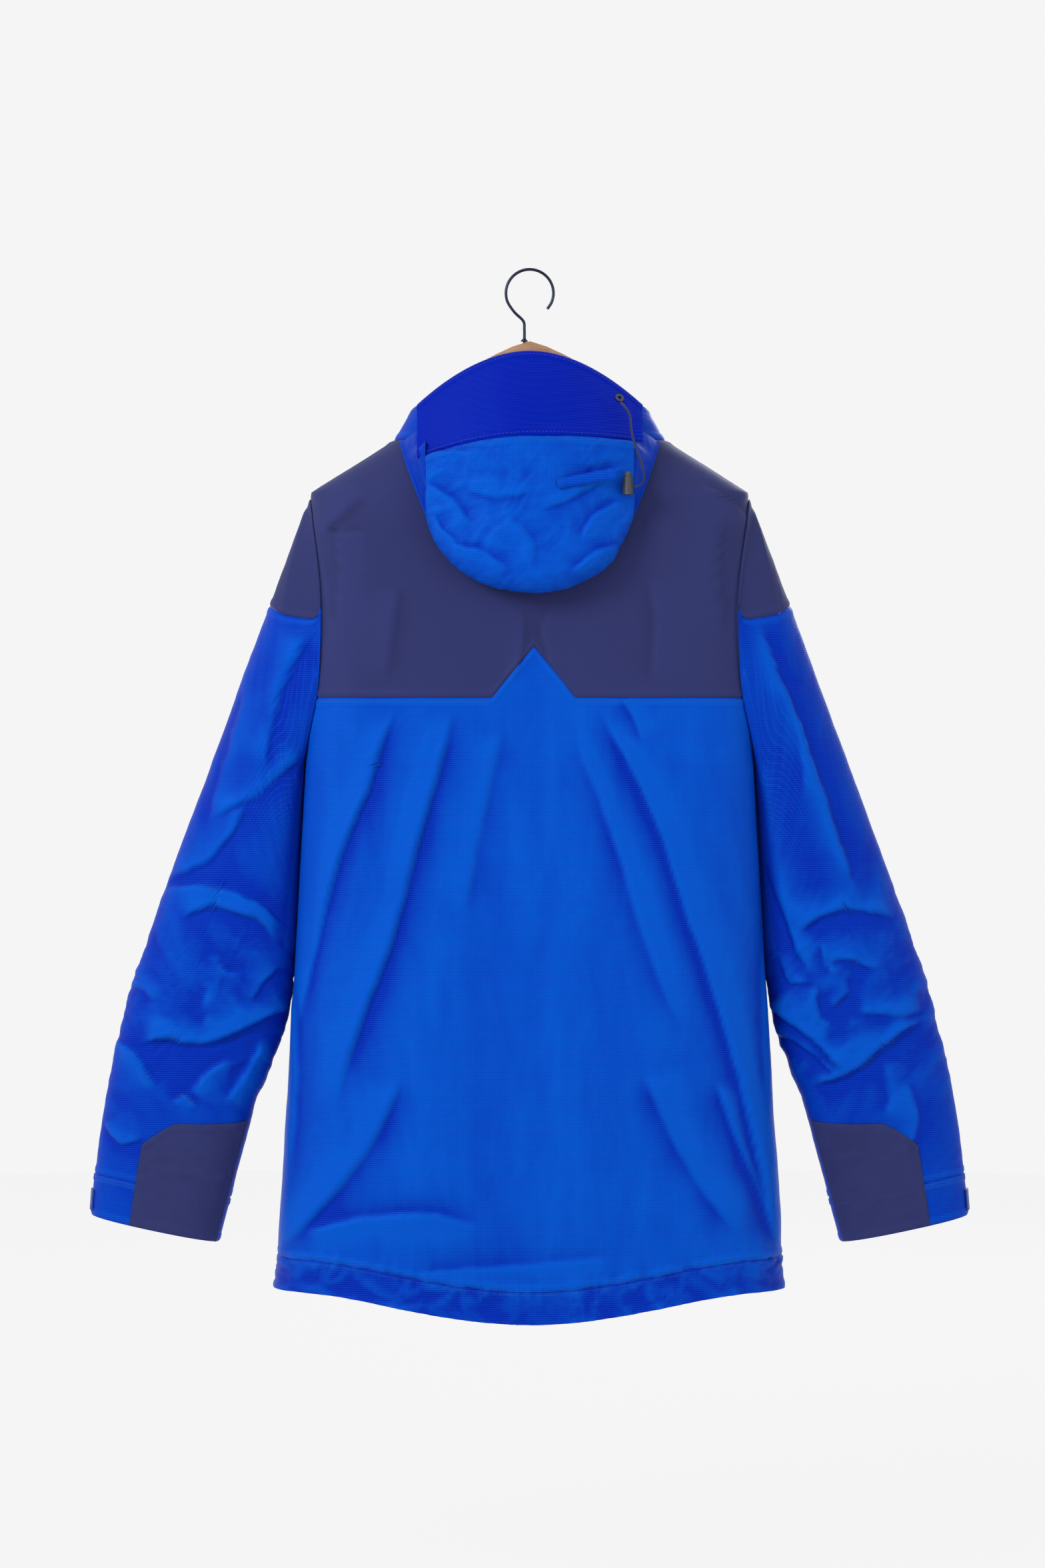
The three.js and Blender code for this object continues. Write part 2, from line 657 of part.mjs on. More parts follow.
const frontY = (z, offset = 0) => frontDepth(z) + offset;
const zipTopZ = collarTopZ - 4;
const zipBottomZ = hemZ + hemRise + 4;

// A straight strip up the front between two x values, laid off the front's centre line by an offset.
function frontStrip(x0, x1, z0, z1, offset, thickness) {
  const middle = (z0 + z1) / 2;
  const strip = new THREE.BoxGeometry(x1 - x0, thickness, Math.hypot(z1 - z0, frontDepth(z1) - frontDepth(z0)));
  strip.rotateX(frontSlope);
  strip.translate((x0 + x1) / 2, frontY(middle, offset), middle);
  return strip;
}

const frontSlope = Math.atan((hemDepth - frontTopDepth) / (collarTopZ - hemZ));

// A zip pull: a flat tab with an eye at its top, hanging in front of the slider.
function makePull(name, x, y, z) {
  const half = pullWidth / 2;
  const outline = [[-half * 0.7, 0], [half * 0.7, 0], [half, -half], [half, 2 - pullLength], [half - 2, -pullLength],
    [2 - half, -pullLength], [-half, 2 - pullLength], [-half, -half]];
  const shape = new THREE.Shape(outline.map(([a, b]) => new THREE.Vector2(a, b)));
  const eye = steps(8).slice(1).map((t) => (
    new THREE.Vector2(1.4 * cos(2 * PI * t), -half + 1.4 * sin(2 * PI * t))
  ));
  shape.holes.push(new THREE.Path(eye));
  const geometry = new THREE.ExtrudeGeometry(shape, { depth: 2, bevelEnabled: false });
  geometry.rotateX(PI / 2);
  geometry.translate(x, y + 2, z);
  return add(name, geometry, black, 0.6);
}

// A slider body with a raised bridge across it.
function sliderGeometry() {
  const w = sliderWidth / 2;
  const l = sliderLength / 2;
  return plate([[-w * 0.7, -l], [w * 0.7, -l], [w, -l * 0.2], [w * 0.8, l], [-w * 0.8, l], [-w, -l * 0.2]],
    sliderThickness);
}

function makeFrontZip() {
  const tapeBack = -wall / 2 - clearance - 0.6;
  const chainFront = 0.2;
  const sliderOff = chainFront + zipThickness / 2 + sliderThickness / 2 + clearance;
  for (const [label, side] of [['left', -1], ['right', 1]]) {
    const near = side * (zipHalfWidth + clearance);
    const far = side * tapeHalfWidth;
    add(`zip_tape_${label}`, frontStrip(min(near, far), max(near, far), zipBottomZ, zipTopZ,
      tapeBack - 0.5, 0.8), black);
  }
  add('zip_chain', frontStrip(-zipHalfWidth, zipHalfWidth, zipBottomZ, zipTopZ, chainFront, zipThickness), black, 0.4);
  add('wind_flap', frontStrip(-26, 22, zipBottomZ + 12, zipTopZ - 10, tapeBack - 5, wall), navy);
  const slider = sliderGeometry();
  slider.rotateX(frontSlope);
  slider.translate(0, frontY(sliderTopZ, sliderOff), sliderTopZ);
  add('zip_slider', slider, black, 0.35, 0.4);
  const pullY = frontY(sliderTopZ, sliderOff + sliderThickness / 2 + clearance + 3.4);
  makePull('zip_pull', 0, pullY, sliderTopZ - 1);
  const guard = plate([[-14, -9], [14, -9], [12, 8], [-12, 8]], wall);
  guard.rotateX(frontSlope);
  guard.translate(0, frontY(collarTopZ - 10, sliderOff), collarTopZ - 10);
  add('chin_guard', guard, navy);
}

const sliderTopZ = collarTopZ - 28;

// ---------------------------------------------------------------- hand pockets

// A straight bar lying off the front panel between the ends of the pocket opening.
function pocketEnds(side, offset) {
  return [pocketTop, pocketBottom].map(([x, z]) => {
    const [halfWidth, , n] = station(z);
    const y = frontDepth(z) * (1 - (x / halfWidth) ** n) ** (1 / n);
    return new THREE.Vector3(side * x, y + offset, z);
  });
}

function alignTo(geometry, side, at, offset) {
  const [top, bottom] = pocketEnds(side, offset);
  const down = bottom.clone().sub(top).normalize();
  const across = new THREE.Vector3(1, 0, 0).addScaledVector(down, -down.x).normalize();
  const out = new THREE.Vector3().crossVectors(down, across).multiplyScalar(-1);
  const basis = new THREE.Matrix4().makeBasis(across, out, down.clone().multiplyScalar(-1));
  basis.setPosition(top.lerp(bottom, at));
  geometry.applyMatrix4(basis);
  return geometry;
}

function makePocket(label, side) {
  const chainLift = wall / 2 + clearance + zipThickness / 2 + 1.2;
  const [top, bottom] = pocketEnds(side, chainLift);
  const length = top.distanceTo(bottom);
  const chain = new THREE.BoxGeometry(2 * zipHalfWidth, zipThickness, length);
  add(`pocket_chain_${label}`, alignTo(chain, side, 0.5, chainLift), black, 0.5);
  const sliderLift = chainLift + zipThickness / 2 + sliderThickness / 2 + clearance;
  add(`pocket_slider_${label}`, alignTo(sliderGeometry(), side, sliderLength / 2 / length, sliderLift), black, 0.35, 0.4);
  const [hang] = pocketEnds(side, sliderLift + sliderThickness / 2 + clearance + 0.8);
  makePull(`pocket_pull_${label}`, hang.x + side * 1, hang.y + 1.4, hang.z - sliderLength / 2);
  add(`pocket_bag_${label}`, sheet((u, v) => {
    const z = lerp(pocketTop[1] + 12, pocketBottom[1] - 40, v);
    const x = lerp(34, pocketTop[0] + 54, u);
    const [halfWidth, , n] = station(z);
    const y = frontDepth(z) * (1 - (x / halfWidth) ** n) ** (1 / n);
    return new THREE.Vector3(side * x, y - pocketBagDepth, z);
  }, 6, 5, pocketBagWall), navy);
}

const pocketBagWall = 1.2;
const pocketBagDepth = 4;

// ---------------------------------------------------------------- cords and locks

// A cord lock: a barrel with its axis along +Z and a sprung button in its top, each its own piece.
function makeLock(name, x, y, z) {
  const bore = lockRadius * 0.62;
  const floor = 5;
  const barrelProfile = [[0, 0], [lockRadius, 0], [lockRadius, lockLength], [bore + 0.4, lockLength],
    [bore + 0.4, floor], [0, floor]];
  const barrel = new THREE.LatheGeometry(barrelProfile.map(([r, h]) => new THREE.Vector2(r, h)), 12);
  barrel.rotateX(PI / 2);
  barrel.translate(x, y, z);
  add(`${name}_barrel`, barrel, black, 0.5);
  const low = floor + buttonTravel + 0.5;
  const buttonProfile = [[0, low], [bore, low], [bore, lockLength + buttonTravel],
    [bore * 0.7, lockLength + buttonTravel + 1.2], [0, lockLength + buttonTravel + 1.2]];
  const button = new THREE.LatheGeometry(buttonProfile.map(([r, h]) => new THREE.Vector2(r, h)), 12);
  button.rotateX(PI / 2);
  button.translate(x, y, z);
  add(`${name}_button`, button, grey, 0.5);
}

const lockX = hemHalfWidth * 0.55;

function makeCords() {
  const hemTop = hemZ + hemRise + hemBand;
  const shares = evenShares(PI / 2, 2.5 * PI, 40);
  const route = shares.map((share) => {
    const angle = lerp(PI / 2 + 0.14, 2.5 * PI - 0.14, share);
    const x = bodyPoint(angle, yokeSeamZ).x;
    const low = sin(angle) > 0 ? hemZ + hemRise : hemAtX(x);
    return bodyPoint(angle, low + hemBand * 0.45, -wall / 2 - clearance - cordDiameter / 2 - 3);
  });
  add('hem_cord', tube(route, cordDiameter, 8, 36), black);
  for (const [label, side] of [['left', -1], ['right', 1]]) {
    const depth = frontDepth(hemTop) - lockRadius - cordDiameter - 8;
    makeLock(`hem_lock_${label}`, side * lockX, depth, hemTop - 6);
  }
  const [cordLockX, cordLockY, cordLockZ] = [90, hoodOuterY(90) - lockRadius - 4, adjusterZ - 14];
  makeLock('hood_lock', cordLockX, cordLockY, cordLockZ);
  const cordEnd = new THREE.Vector3(cordLockX + lockRadius + 0.4, cordLockY, cordLockZ + 7);
  const cord = [[84, -74, -132], [88, -80, -137], [92, -84, -145], [93, -87, -156], [95, -91, -168],
    [99, -94, -180], [103, -94, -192], [105, -92, -202], [102, -89, -209]].map((p) => new THREE.Vector3(...p));
  add('hood_cord', tube([...cord, cordEnd], hoodCordDiameter, 8, 16), grey);
  const eyelet = new THREE.LatheGeometry([[1.8, 0], [4.2, 0], [4.2, 1], [1.8, 1], [1.8, 0]]
    .map(([r, h]) => new THREE.Vector2(r, h)), 14);
  eyelet.rotateX(-rad(27));
  eyelet.rotateZ(rad(20));
  const eyeletAt = brimPoint(brimHalfWidth * 0.8, 0.8, 4.4);
  eyelet.translate(eyeletAt.x, eyeletAt.y, eyeletAt.z);
  add('hood_eyelet', eyelet, 0x6b5a3a, 0.5, 0.5);
  const loop = [[-16, 0, 0], [-16, 12, -8], [-14, 22, -26], [0, 26, -34], [14, 22, -26], [16, 12, -8], [16, 0, 0]]
    .map(([x, y, z]) => new THREE.Vector3(x, y, z));
  const loopY = -(station(neckZ)[1] - 2.4);
  const hanging = tube(loop, 3, 8, 24);
  hanging.translate(0, loopY, neckZ - 2);
  add('hanging_loop', hanging, black);
}

makeBody();
makeCollar();
makeHem();
makeSleeve('left', -1);
makeSleeve('right', 1);
makeHood();
await makeHanger();
makeFrontZip();
makePocket('left', -1);
makePocket('right', 1);
makeCords();

export default jacket;
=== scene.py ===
"""Cloth, zips, cords and hanger of a hooded hardshell jacket, built around its frame."""

import json
import math

import bpy
import numpy as np
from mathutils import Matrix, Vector


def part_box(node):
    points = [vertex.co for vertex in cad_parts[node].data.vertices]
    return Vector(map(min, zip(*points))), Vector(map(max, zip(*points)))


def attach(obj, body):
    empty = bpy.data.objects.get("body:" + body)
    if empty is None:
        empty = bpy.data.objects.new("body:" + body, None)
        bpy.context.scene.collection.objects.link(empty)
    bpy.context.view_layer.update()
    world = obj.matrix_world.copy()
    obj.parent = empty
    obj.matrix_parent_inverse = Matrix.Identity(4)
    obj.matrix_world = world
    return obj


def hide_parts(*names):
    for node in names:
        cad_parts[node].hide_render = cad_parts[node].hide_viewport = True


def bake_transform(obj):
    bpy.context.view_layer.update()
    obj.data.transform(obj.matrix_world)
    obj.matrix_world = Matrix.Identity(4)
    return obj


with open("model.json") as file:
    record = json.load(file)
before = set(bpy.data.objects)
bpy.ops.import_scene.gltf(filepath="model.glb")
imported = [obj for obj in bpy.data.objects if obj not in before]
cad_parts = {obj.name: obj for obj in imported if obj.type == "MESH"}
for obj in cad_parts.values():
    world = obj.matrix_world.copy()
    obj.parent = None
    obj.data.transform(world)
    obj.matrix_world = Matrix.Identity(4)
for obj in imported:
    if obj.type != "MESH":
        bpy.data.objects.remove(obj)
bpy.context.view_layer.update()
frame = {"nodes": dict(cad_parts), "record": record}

bl_info = {
    "name": "Hardshell Jacket",
    "version": (1, 0, 0),
    "blender": (4, 5, 0),
    "location": "View3D > Sidebar > Jacket",
    "description": "Builds the cloth, zips, cords and hanger of a hooded hardshell jacket",
    "category": "Add Mesh",
}

MM = 0.001
SIDES = (("left", -1), ("right", 1))

# ---------------------------------------------------------------- shape of the garment, millimetres

# height, half width, back depth and squareness of the body's sections, from the collar to the hem
BODY_STATIONS = np.array([
    (-983, 240, 78, 3.0),
    (-650, 219, 66, 4.2),
    (-468, 210, 61, 5.0),
    (-404, 203, 60, 5.0),
    (-241, 203, 59, 4.6),
    (-211, 205, 57, 3.2),
    (-161, 127, 50, 2.4),
    (-101, 92, 43, 2.3),
])
COLLAR_TOP, HEM_LOW = -101.0, -983.0
NECK_Z, YOKE_SEAM_Z, FRONT_YOKE_Z = -161.0, -404.0, -330.0
HEM_RISE, HEM_BAND = 27.0, 30.0
FRONT_TOP_DEPTH, HEM_DEPTH = 40.0, 78.0
YOKE_PEAK, YOKE_PEAK_HALF = 48.0, 40.0
CHEST_HALF = 203.0
ARMHOLE_TOP, UNDERARM = -216.0, -468.0
ARMHOLE_HALF_DEPTH, ARMHOLE_Y = 40.0, -4.0
SLEEVE_OFFSET, TIP_X = 2.5, 207.5
UPPER_ARM, UPPER_ANGLE = 437.0, math.radians(20.4)
FOREARM, FOREARM_ANGLE, FOREARM_BOW = 270.0, math.radians(11.5), 9.0
ELBOW_WIDTH, ELBOW_HALF_DEPTH, ELBOW_TILT = 143.0, 38.0, math.radians(7)
CUFF_WIDTH, CUFF_HALF_DEPTH, CUFF_TILT = 122.0, 29.0, math.radians(12)
CUFF_BAND = 40.0
SLEEVE_SQUARENESS = 2.3
CAP_SHARE = 107.0 / UPPER_ARM
FRONT_HALF_GAP = 9.0
HOOD_HALF, HOOD_BOTTOM, HOOD_SHOULDER, HOOD_MOUTH, HOOD_DEPTH = 101.0, -307.0, -190.0, -167.0, 44.0
BRIM_TOP, BRIM_HALF = -83.0, 104.0
POCKET_TOP, POCKET_LOW = (98.0, -560.0), (122.0, -742.0)


# ---------------------------------------------------------------- numbers on grids

def smooth(t):
    t = np.clip(t, 0.0, 1.0)
    return t * t * (3 - 2 * t)


def mix(a, b, t):
    return a + (b - a) * t


def hashed_angle(ix, iy, seed):
    """A repeatable angle for each lattice corner."""
    h = (ix.astype(np.int64) * 374761393 + iy.astype(np.int64) * 668265263 + seed * 974634777) & 0xFFFFFFFF
    h = ((h ^ (h >> 13)) * 1274126177) & 0xFFFFFFFF
    return ((h ^ (h >> 16)) & 0xFFFF) / 65536.0 * 2 * math.pi


def noise(x, y, seed):
    """Smooth gradient noise over the plane, about -0.7 to 0.7."""
    x, y = np.broadcast_arrays(np.asarray(x, float), np.asarray(y, float))
    ix, iy = np.floor(x), np.floor(y)
    fx, fy = x - ix, y - iy
    total = 0.0
    for cx in (0, 1):
        for cy in (0, 1):
            angle = hashed_angle(ix + cx, iy + cy, seed)
            dot = np.cos(angle) * (fx - cx) + np.sin(angle) * (fy - cy)
            wx = smooth(fx if cx else 1 - fx)
            wy = smooth(fy if cy else 1 - fy)
            total = total + dot * wx * wy
    return total


def crumple(x, y, seed, octaves=3):
    """Flat facets that meet in sharp creases, as thin stiff cloth crumples."""
    total, size = 0.0, 1.0
    for octave in range(octaves):
        bend = noise(x * 0.5 / size + 7, y * 0.5 / size, seed + 31 * octave) * 1.6
        fold = np.abs(noise(x / size + bend, y / size - bend, seed + octave))
        facing = 1 if octave % 2 else -1
        total = total + facing * size * (fold ** 0.85 - 0.3)
        size *= 0.55
    return total


def box_blur(field, reach, axis):
    pad = [(0, 0)] * field.ndim
    pad[axis] = (reach + 1, reach)
    total = np.cumsum(np.pad(field, pad, mode="edge"), axis=axis)
    high = np.take(total, range(2 * reach + 1, total.shape[axis]), axis=axis)
    low = np.take(total, range(0, total.shape[axis] - 2 * reach - 1), axis=axis)
    return (high - low) / (2 * reach + 1)


def blurred(field, reach):
    for _ in range(2):
        for axis in (0, 1):
            field = box_blur(field, max(1, reach), axis)
    return field


def polyline(points, count=48):
    """Points spaced evenly along a smooth line through the given points."""
    points = np.array(points, float)
    run = np.concatenate([[0], np.cumsum(np.linalg.norm(np.diff(points, axis=0), axis=1))])
    at = np.linspace(0, run[-1], count)
    line = np.stack([np.interp(at, run, points[:, k]) for k in range(points.shape[1])], axis=1)
    for _ in range(14):
        line[1:-1] = (line[:-2] + 2 * line[1:-1] + line[2:]) / 4
    return line


def fold_field(x, z, folds, wander=0.0):
    """Height in millimetres that a list of folds adds at each point (x, z).

    A fold is (points, depth, width, lean): a step along the points, where the cloth on the side that the
    sign of lean names stands over the other, dying out at its ends. The lines stray by about wander.
    """
    lift = np.zeros_like(x)
    x, z = (x + wander * noise(x / 24, z / 24, 5) + 0.5 * wander * noise(x / 9, z / 9, 6),
            z + wander * noise(x / 24, z / 24, 7) + 0.5 * wander * noise(x / 9, z / 9, 8))
    for points, depth, width, lean in folds:
        line = polyline(points, 40)
        reach = 4.5 * width
        near = ((x > line[:, 0].min() - reach) & (x < line[:, 0].max() + reach)
                & (z > line[:, 1].min() - reach) & (z < line[:, 1].max() + reach))
        if not near.any():
            continue
        px, pz = x[near][:, None], z[near][:, None]
        (ax, az), (sx, sz) = line[:-1].T, np.diff(line, axis=0).T
        run = sx * sx + sz * sz
        share = np.clip(((px - ax) * sx + (pz - az) * sz) / run, 0, 1)
        dx, dz = px - ax - share * sx, pz - az - share * sz
        gap = dx * dx + dz * dz
        k = gap.argmin(axis=1)
        rows = np.arange(len(k))
        distance = np.sqrt(gap[rows, k])
        signed = (dx[rows, k] * sz[k] - dz[rows, k] * sx[k]) / np.sqrt(run[k])
        along = (k + share[rows, k]) / len(run)
        fade = smooth(along / 0.14) * smooth((1 - along) / 0.2)
        fade = fade * (1 + 0.5 * noise(along * 4 + len(points), 0 * along, 9))
        out = distance / width
        upper = smooth(0.5 + math.copysign(1.4, lean) * signed / width)
        lift[near] += 0.62 * depth * fade * mix(-0.8 * np.exp(-out / 1.1), np.exp(-out / 1.6), upper)
    return lift


# ---------------------------------------------------------------- body and sleeve surfaces

def section(z):
    rows = BODY_STATIONS
    return tuple(np.interp(z, rows[:, 0], rows[:, k]) for k in (1, 2, 3))


def front_depth(z):
    return mix(FRONT_TOP_DEPTH, HEM_DEPTH, (z - COLLAR_TOP) / (HEM_LOW - COLLAR_TOP))


def body_point(angle, z, offset=0.0):
    half, back, n = section(z)
    c, s = np.cos(angle), np.sin(angle)
    depth = np.where(s > 0, front_depth(z), back)
    r = (np.abs(c) ** n + np.abs(s) ** n) ** (-1 / n)
    return np.stack([(half + offset) * c * r, (depth + offset) * s * r, z + 0 * r], axis=-1)


def angle_at_depth(y, z):
    _, back, n = section(z)
    share = np.abs(y) / np.where(y > 0, front_depth(z), back)
    return np.sign(y) * np.arctan(share / (1 - share ** n) ** (1 / n))


def back_depth_at(x, z):
    half, back, n = section(z)
    share = np.minimum(0.96, np.abs(x) / half)
    return back * (1 - share ** n) ** (1 / n)


def front_y_at(x, z):
    half, _, n = section(z)
    return front_depth(z) * (1 - (np.abs(x) / half) ** n) ** (1 / n)


def even_shares(start, end, count, z=YOKE_SEAM_Z):
    """Shares of an angle range that space points evenly round a section."""
    share = np.linspace(0, 1, 600)
    ring = body_point(mix(start, end, share), np.full(600, z))
    run = np.concatenate([[0], np.cumsum(np.linalg.norm(np.diff(ring, axis=0), axis=1))])
    return np.interp(np.linspace(0, run[-1], count), run, share)


def armhole_depth(z):
    middle, half = (ARMHOLE_TOP + UNDERARM) / 2, (ARMHOLE_TOP - UNDERARM) / 2
    return ARMHOLE_HALF_DEPTH * np.sqrt(np.clip(1 - ((z - middle) / half) ** 2, 0, 1))


def side_edge(face, z):
    return angle_at_depth(ARMHOLE_Y + face * (armhole_depth(z) + 0.2), z)


def hem_line(x):
    return HEM_LOW + HEM_RISE * smooth(np.abs(x) / CHEST_HALF)


def yoke_seam(x):
    return YOKE_SEAM_Z + YOKE_PEAK * np.clip(1 - np.abs(x - 4) / YOKE_PEAK_HALF, 0, 1)


def panel_points(face, side, top, bottom, columns, rows):
    """Grid of a body panel: face -1 is the back, 1 one half of the front."""
    start, end = (-math.pi + 0.05, -0.05) if face < 0 else (math.pi / 2, 0.05)
    share = even_shares(start, end, columns)[:, None]
    ref_x = body_point(mix(start, end, share), np.full_like(share, YOKE_SEAM_Z))[..., 0] * side
    v = np.linspace(0, 1, rows)[None, :]
    z = mix(top(ref_x), bottom(ref_x), v)
    edge = side_edge(face, z)
    if face > 0:
        angle = mix(math.pi / 2 - FRONT_HALF_GAP / section(z)[0], edge, share)
    else:
        plain_edge = angle_at_depth(ARMHOLE_Y - 0.2 + 0 * z, z)
        bite = smooth((share - 0.54) / 0.46) - smooth((0.46 - share) / 0.46)
        angle = mix(-math.pi - plain_edge, plain_edge, share) + (edge - plain_edge) * bite
        assert (np.diff(angle, axis=0) > 0).all(), "the back's columns cross"
    points = body_point(angle, z)
    points[..., 0] *= side
    return points


def outer_edge(t):
    """Outer edge of the sleeve: shoulder tip at 0, elbow at 1, cuff at 2."""
    ex, ez = TIP_X + UPPER_ARM * math.sin(UPPER_ANGLE), ARMHOLE_TOP - UPPER_ARM * math.cos(UPPER_ANGLE)
    cx, cz = ex + FOREARM * math.sin(FOREARM_ANGLE), ez - FOREARM * math.cos(FOREARM_ANGLE)
    s = np.clip(t - 1, 0, 1)
    a = np.clip(t, 0, 1)
    x = mix(TIP_X, ex, a) + (cx - ex) * s + FOREARM_BOW * 4 * s * (1 - s)
    z = mix(ARMHOLE_TOP, ez, a) + (cz - ez) * s
    return x, z


def inner_edge(t):
    ox, oz = outer_edge(np.float64(1))
    ix, iz = ox - ELBOW_WIDTH * math.cos(ELBOW_TILT), oz - ELBOW_WIDTH * math.sin(ELBOW_TILT)
    kx, kz = outer_edge(np.float64(2))
    kx, kz = kx - CUFF_WIDTH * math.cos(CUFF_TILT), kz - CUFF_WIDTH * math.sin(CUFF_TILT)
    a, s = np.clip(t, 0, 1), np.clip(t - 1, 0, 1)
    z = mix(UNDERARM, iz, a) + (kz - iz) * s
    x = np.maximum(section(mix(UNDERARM, iz, a))[0] + SLEEVE_OFFSET, mix(TIP_X, ix, a))
    return mix(x, kx, s - 0.11 * np.sin(2 * math.pi * np.minimum(s, 0.5))), z


def sleeve_point(side, around, t, offset=0.0):
    ox, oz = outer_edge(t)
    ix, iz = inner_edge(t)
    k = 2 / SLEEVE_SQUARENESS
    c, s = np.cos(around), np.sin(around)
    across = np.sign(c) * np.abs(c) ** k
    deep = np.sign(s) * np.abs(s) ** k
    half = np.hypot(ox - ix, oz - iz) / 2
    stretch = (half + offset) / half
    depth = np.where(t < 1, mix(ARMHOLE_HALF_DEPTH, ELBOW_HALF_DEPTH, t),
                     mix(ELBOW_HALF_DEPTH, CUFF_HALF_DEPTH, np.clip(t - 1, 0, 1)))
    y = ARMHOLE_Y + 7 * t + (depth + offset) * deep
    z = (oz + iz) / 2 + stretch * across * (oz - iz) / 2
    x = (ox + ix) / 2 + stretch * across * (ox - ix) / 2
    safe = np.clip(y, -0.97 * section(z)[1], 0.97 * front_depth(z))
    head = body_point(angle_at_depth(safe, z), z)[..., 0] + SLEEVE_OFFSET
    reach = 0.3 * (1 - 0.9 * np.clip(c, 0, 1) ** 2)
    x = np.where(t < 0.5, mix(head, x, smooth(t / reach)), x)
    return np.stack([side * x, y, z], axis=-1)


# ---------------------------------------------------------------- folds, millimetres in (x, z)

BACK_FOLDS = [
    # crease, depth, width, lean
    ([(-123, -412), (-141, -458), (-151, -501), (-167, -525), (-180, -565), (-192, -610), (-206, -665),
      (-218, -720)], 6.5, 10, 0.6),
    ([(-70, -410), (-78, -454), (-92, -497), (-108, -555), (-125, -627), (-141, -667), (-160, -715),
      (-184, -790)], 7.0, 12, 0.5),
    ([(-24, -430), (-36, -480), (-48, -540), (-62, -610)], 2.6, 16, 0.2),
    ([(60, -408), (81, -448), (101, -481), (122, -525), (136, -578), (153, -630), (172, -680), (190, -740),
      (212, -830), (232, -922)], 7.0, 11, -0.5),
    ([(85, -405), (97, -424), (106, -446)], 3.5, 8, -0.3),
    ([(40, -436), (62, -490), (84, -552), (103, -620), (124, -675), (145, -720)], 4.2, 13, -0.3),
    ([(105, -752), (135, -818), (160, -860), (196, -905)], 4.5, 13, -0.4),
    ([(171, -758), (191, -815), (215, -869), (233, -922)], 5.0, 9, -0.2),
    ([(-118, -755), (-138, -806), (-174, -857), (-214, -900), (-236, -922)], 5.0, 13, 0.5),
    ([(-214, -900), (-180, -890), (-148, -884), (-95, -880), (-40, -893)], 5.0, 11, 0.6),
    ([(-110, -936), (-40, -930), (30, -925), (82, -920)], 2.6, 9, 0.3),
    ([(-222, -640), (-216, -760), (-224, -860)], 3.0, 10, 0.4),
    ([(222, -560), (216, -680), (222, -800)], 3.0, 9, -0.4),
    ([(-152, -214), (-176, -236), (-200, -262)], 3.2, 9, 0.3),
    ([(-150, -250), (-172, -252), (-196, -248)], 2.4, 8, -0.2),
    ([(158, -206), (182, -216), (206, -238)], 3.2, 8, 0.3),
    ([(180, -226), (174, -290), (182, -352)], 2.6, 8, 0.3),
    ([(-180, -236), (-176, -300), (-184, -356)], 2.6, 8, -0.3),
    ([(-8, -318), (-4, -350), (-14, -392)], 2.2, 7, 0.2),
    ([(20, -312), (10, -340), (22, -380)], 2.2, 7, -0.2),
    ([(-120, -300), (-126, -340), (-134, -396)], 2.4, 14, 0.2),
    ([(110, -290), (118, -340), (112, -396)], 2.4, 14, -0.2),
]

FRONT_FOLDS = [
    ([(-150, -250), (-140, -350), (-150, -470), (-168, -600)], 5.0, 13, 0.4),
    ([(-70, -300), (-66, -420), (-74, -540)], 3.2, 15, 0.2),
    ([(-44, -560), (-52, -700), (-40, -860)], 4.0, 14, 0.3),
    ([(-150, -560), (-160, -690), (-172, -830)], 4.5, 12, 0.3),
    ([(-196, -470), (-160, -500), (-120, -515)], 4.0, 11, -0.3),
    ([(-30, -900), (-90, -885), (-150, -900)], 3.0, 10, 0.4),
    ([(146, -250), (150, -340), (136, -450), (150, -560)], 5.0, 13, -0.4),
    ([(64, -320), (72, -450), (60, -560)], 3.2, 15, -0.2),
    ([(48, -600), (40, -730), (54, -880)], 4.0, 14, -0.3),
    ([(168, -570), (158, -700), (176, -850)], 4.5, 12, -0.3),
    ([(198, -480), (165, -515), (118, -528)], 4.0, 11, 0.3),
    ([(36, -905), (92, -890), (150, -903)], 3.0, 10, 0.4),
]

LEFT_SLEEVE_FOLDS = [
    ([(-205, -345), (-226, -378), (-240, -430), (-250, -474)], 4.5, 10, 0.3),
    ([(-263, -388), (-284, -462), (-306, -534)], 2.4, 13, -0.2),
    ([(-211, -454), (-239, -482), (-263, -499), (-296, -516)], 4.0, 9, 0.4),
    ([(-262, -500), (-276, -530), (-300, -556), (-344, -578)], 4.0, 11, 0.3),
    ([(-346, -582), (-306, -577), (-266, -587), (-237, -609), (-219, -631)], 5.0, 9, 0.4),
    ([(-326, -607), (-294, -597), (-261, -607), (-243, -621), (-240, -636)], 5.5, 8, -0.4),
    ([(-294, -641), (-286, -657), (-266, -661)], 3.5, 6, 0.3),
    ([(-232, -655), (-250, -670), (-262, -690)], 3.5, 7, 0.2),
    ([(-384, -674), (-364, -674), (-348, -690)], 3.0, 7, -0.2),
    ([(-306, -668), (-302, -688), (-308, -716)], 3.0, 6, -0.2),
    ([(-366, -729), (-342, -720), (-306, -730), (-266, -712), (-219, -691)], 9.0, 11, -0.5),
    ([(-391, -722), (-367, -740), (-348, -771)], 5.5, 8, 0.3),
    ([(-318, -775), (-302, -752), (-280, -740)], 5.5, 8, 0.4),
    ([(-286, -781), (-266, -754), (-252, -722)], 5.5, 9, 0.4),
    ([(-335, -781), (-322, -774), (-310, -788)], 4.5, 5, 0.2),
    ([(-401, -803), (-385, -823), (-360, -815)], 4.0, 7, -0.3),
    ([(-252, -585), (-272, -637), (-286, -661), (-308, -718), (-328, -738), (-334, -774)], 1.1, 2.5, 0.2),
]

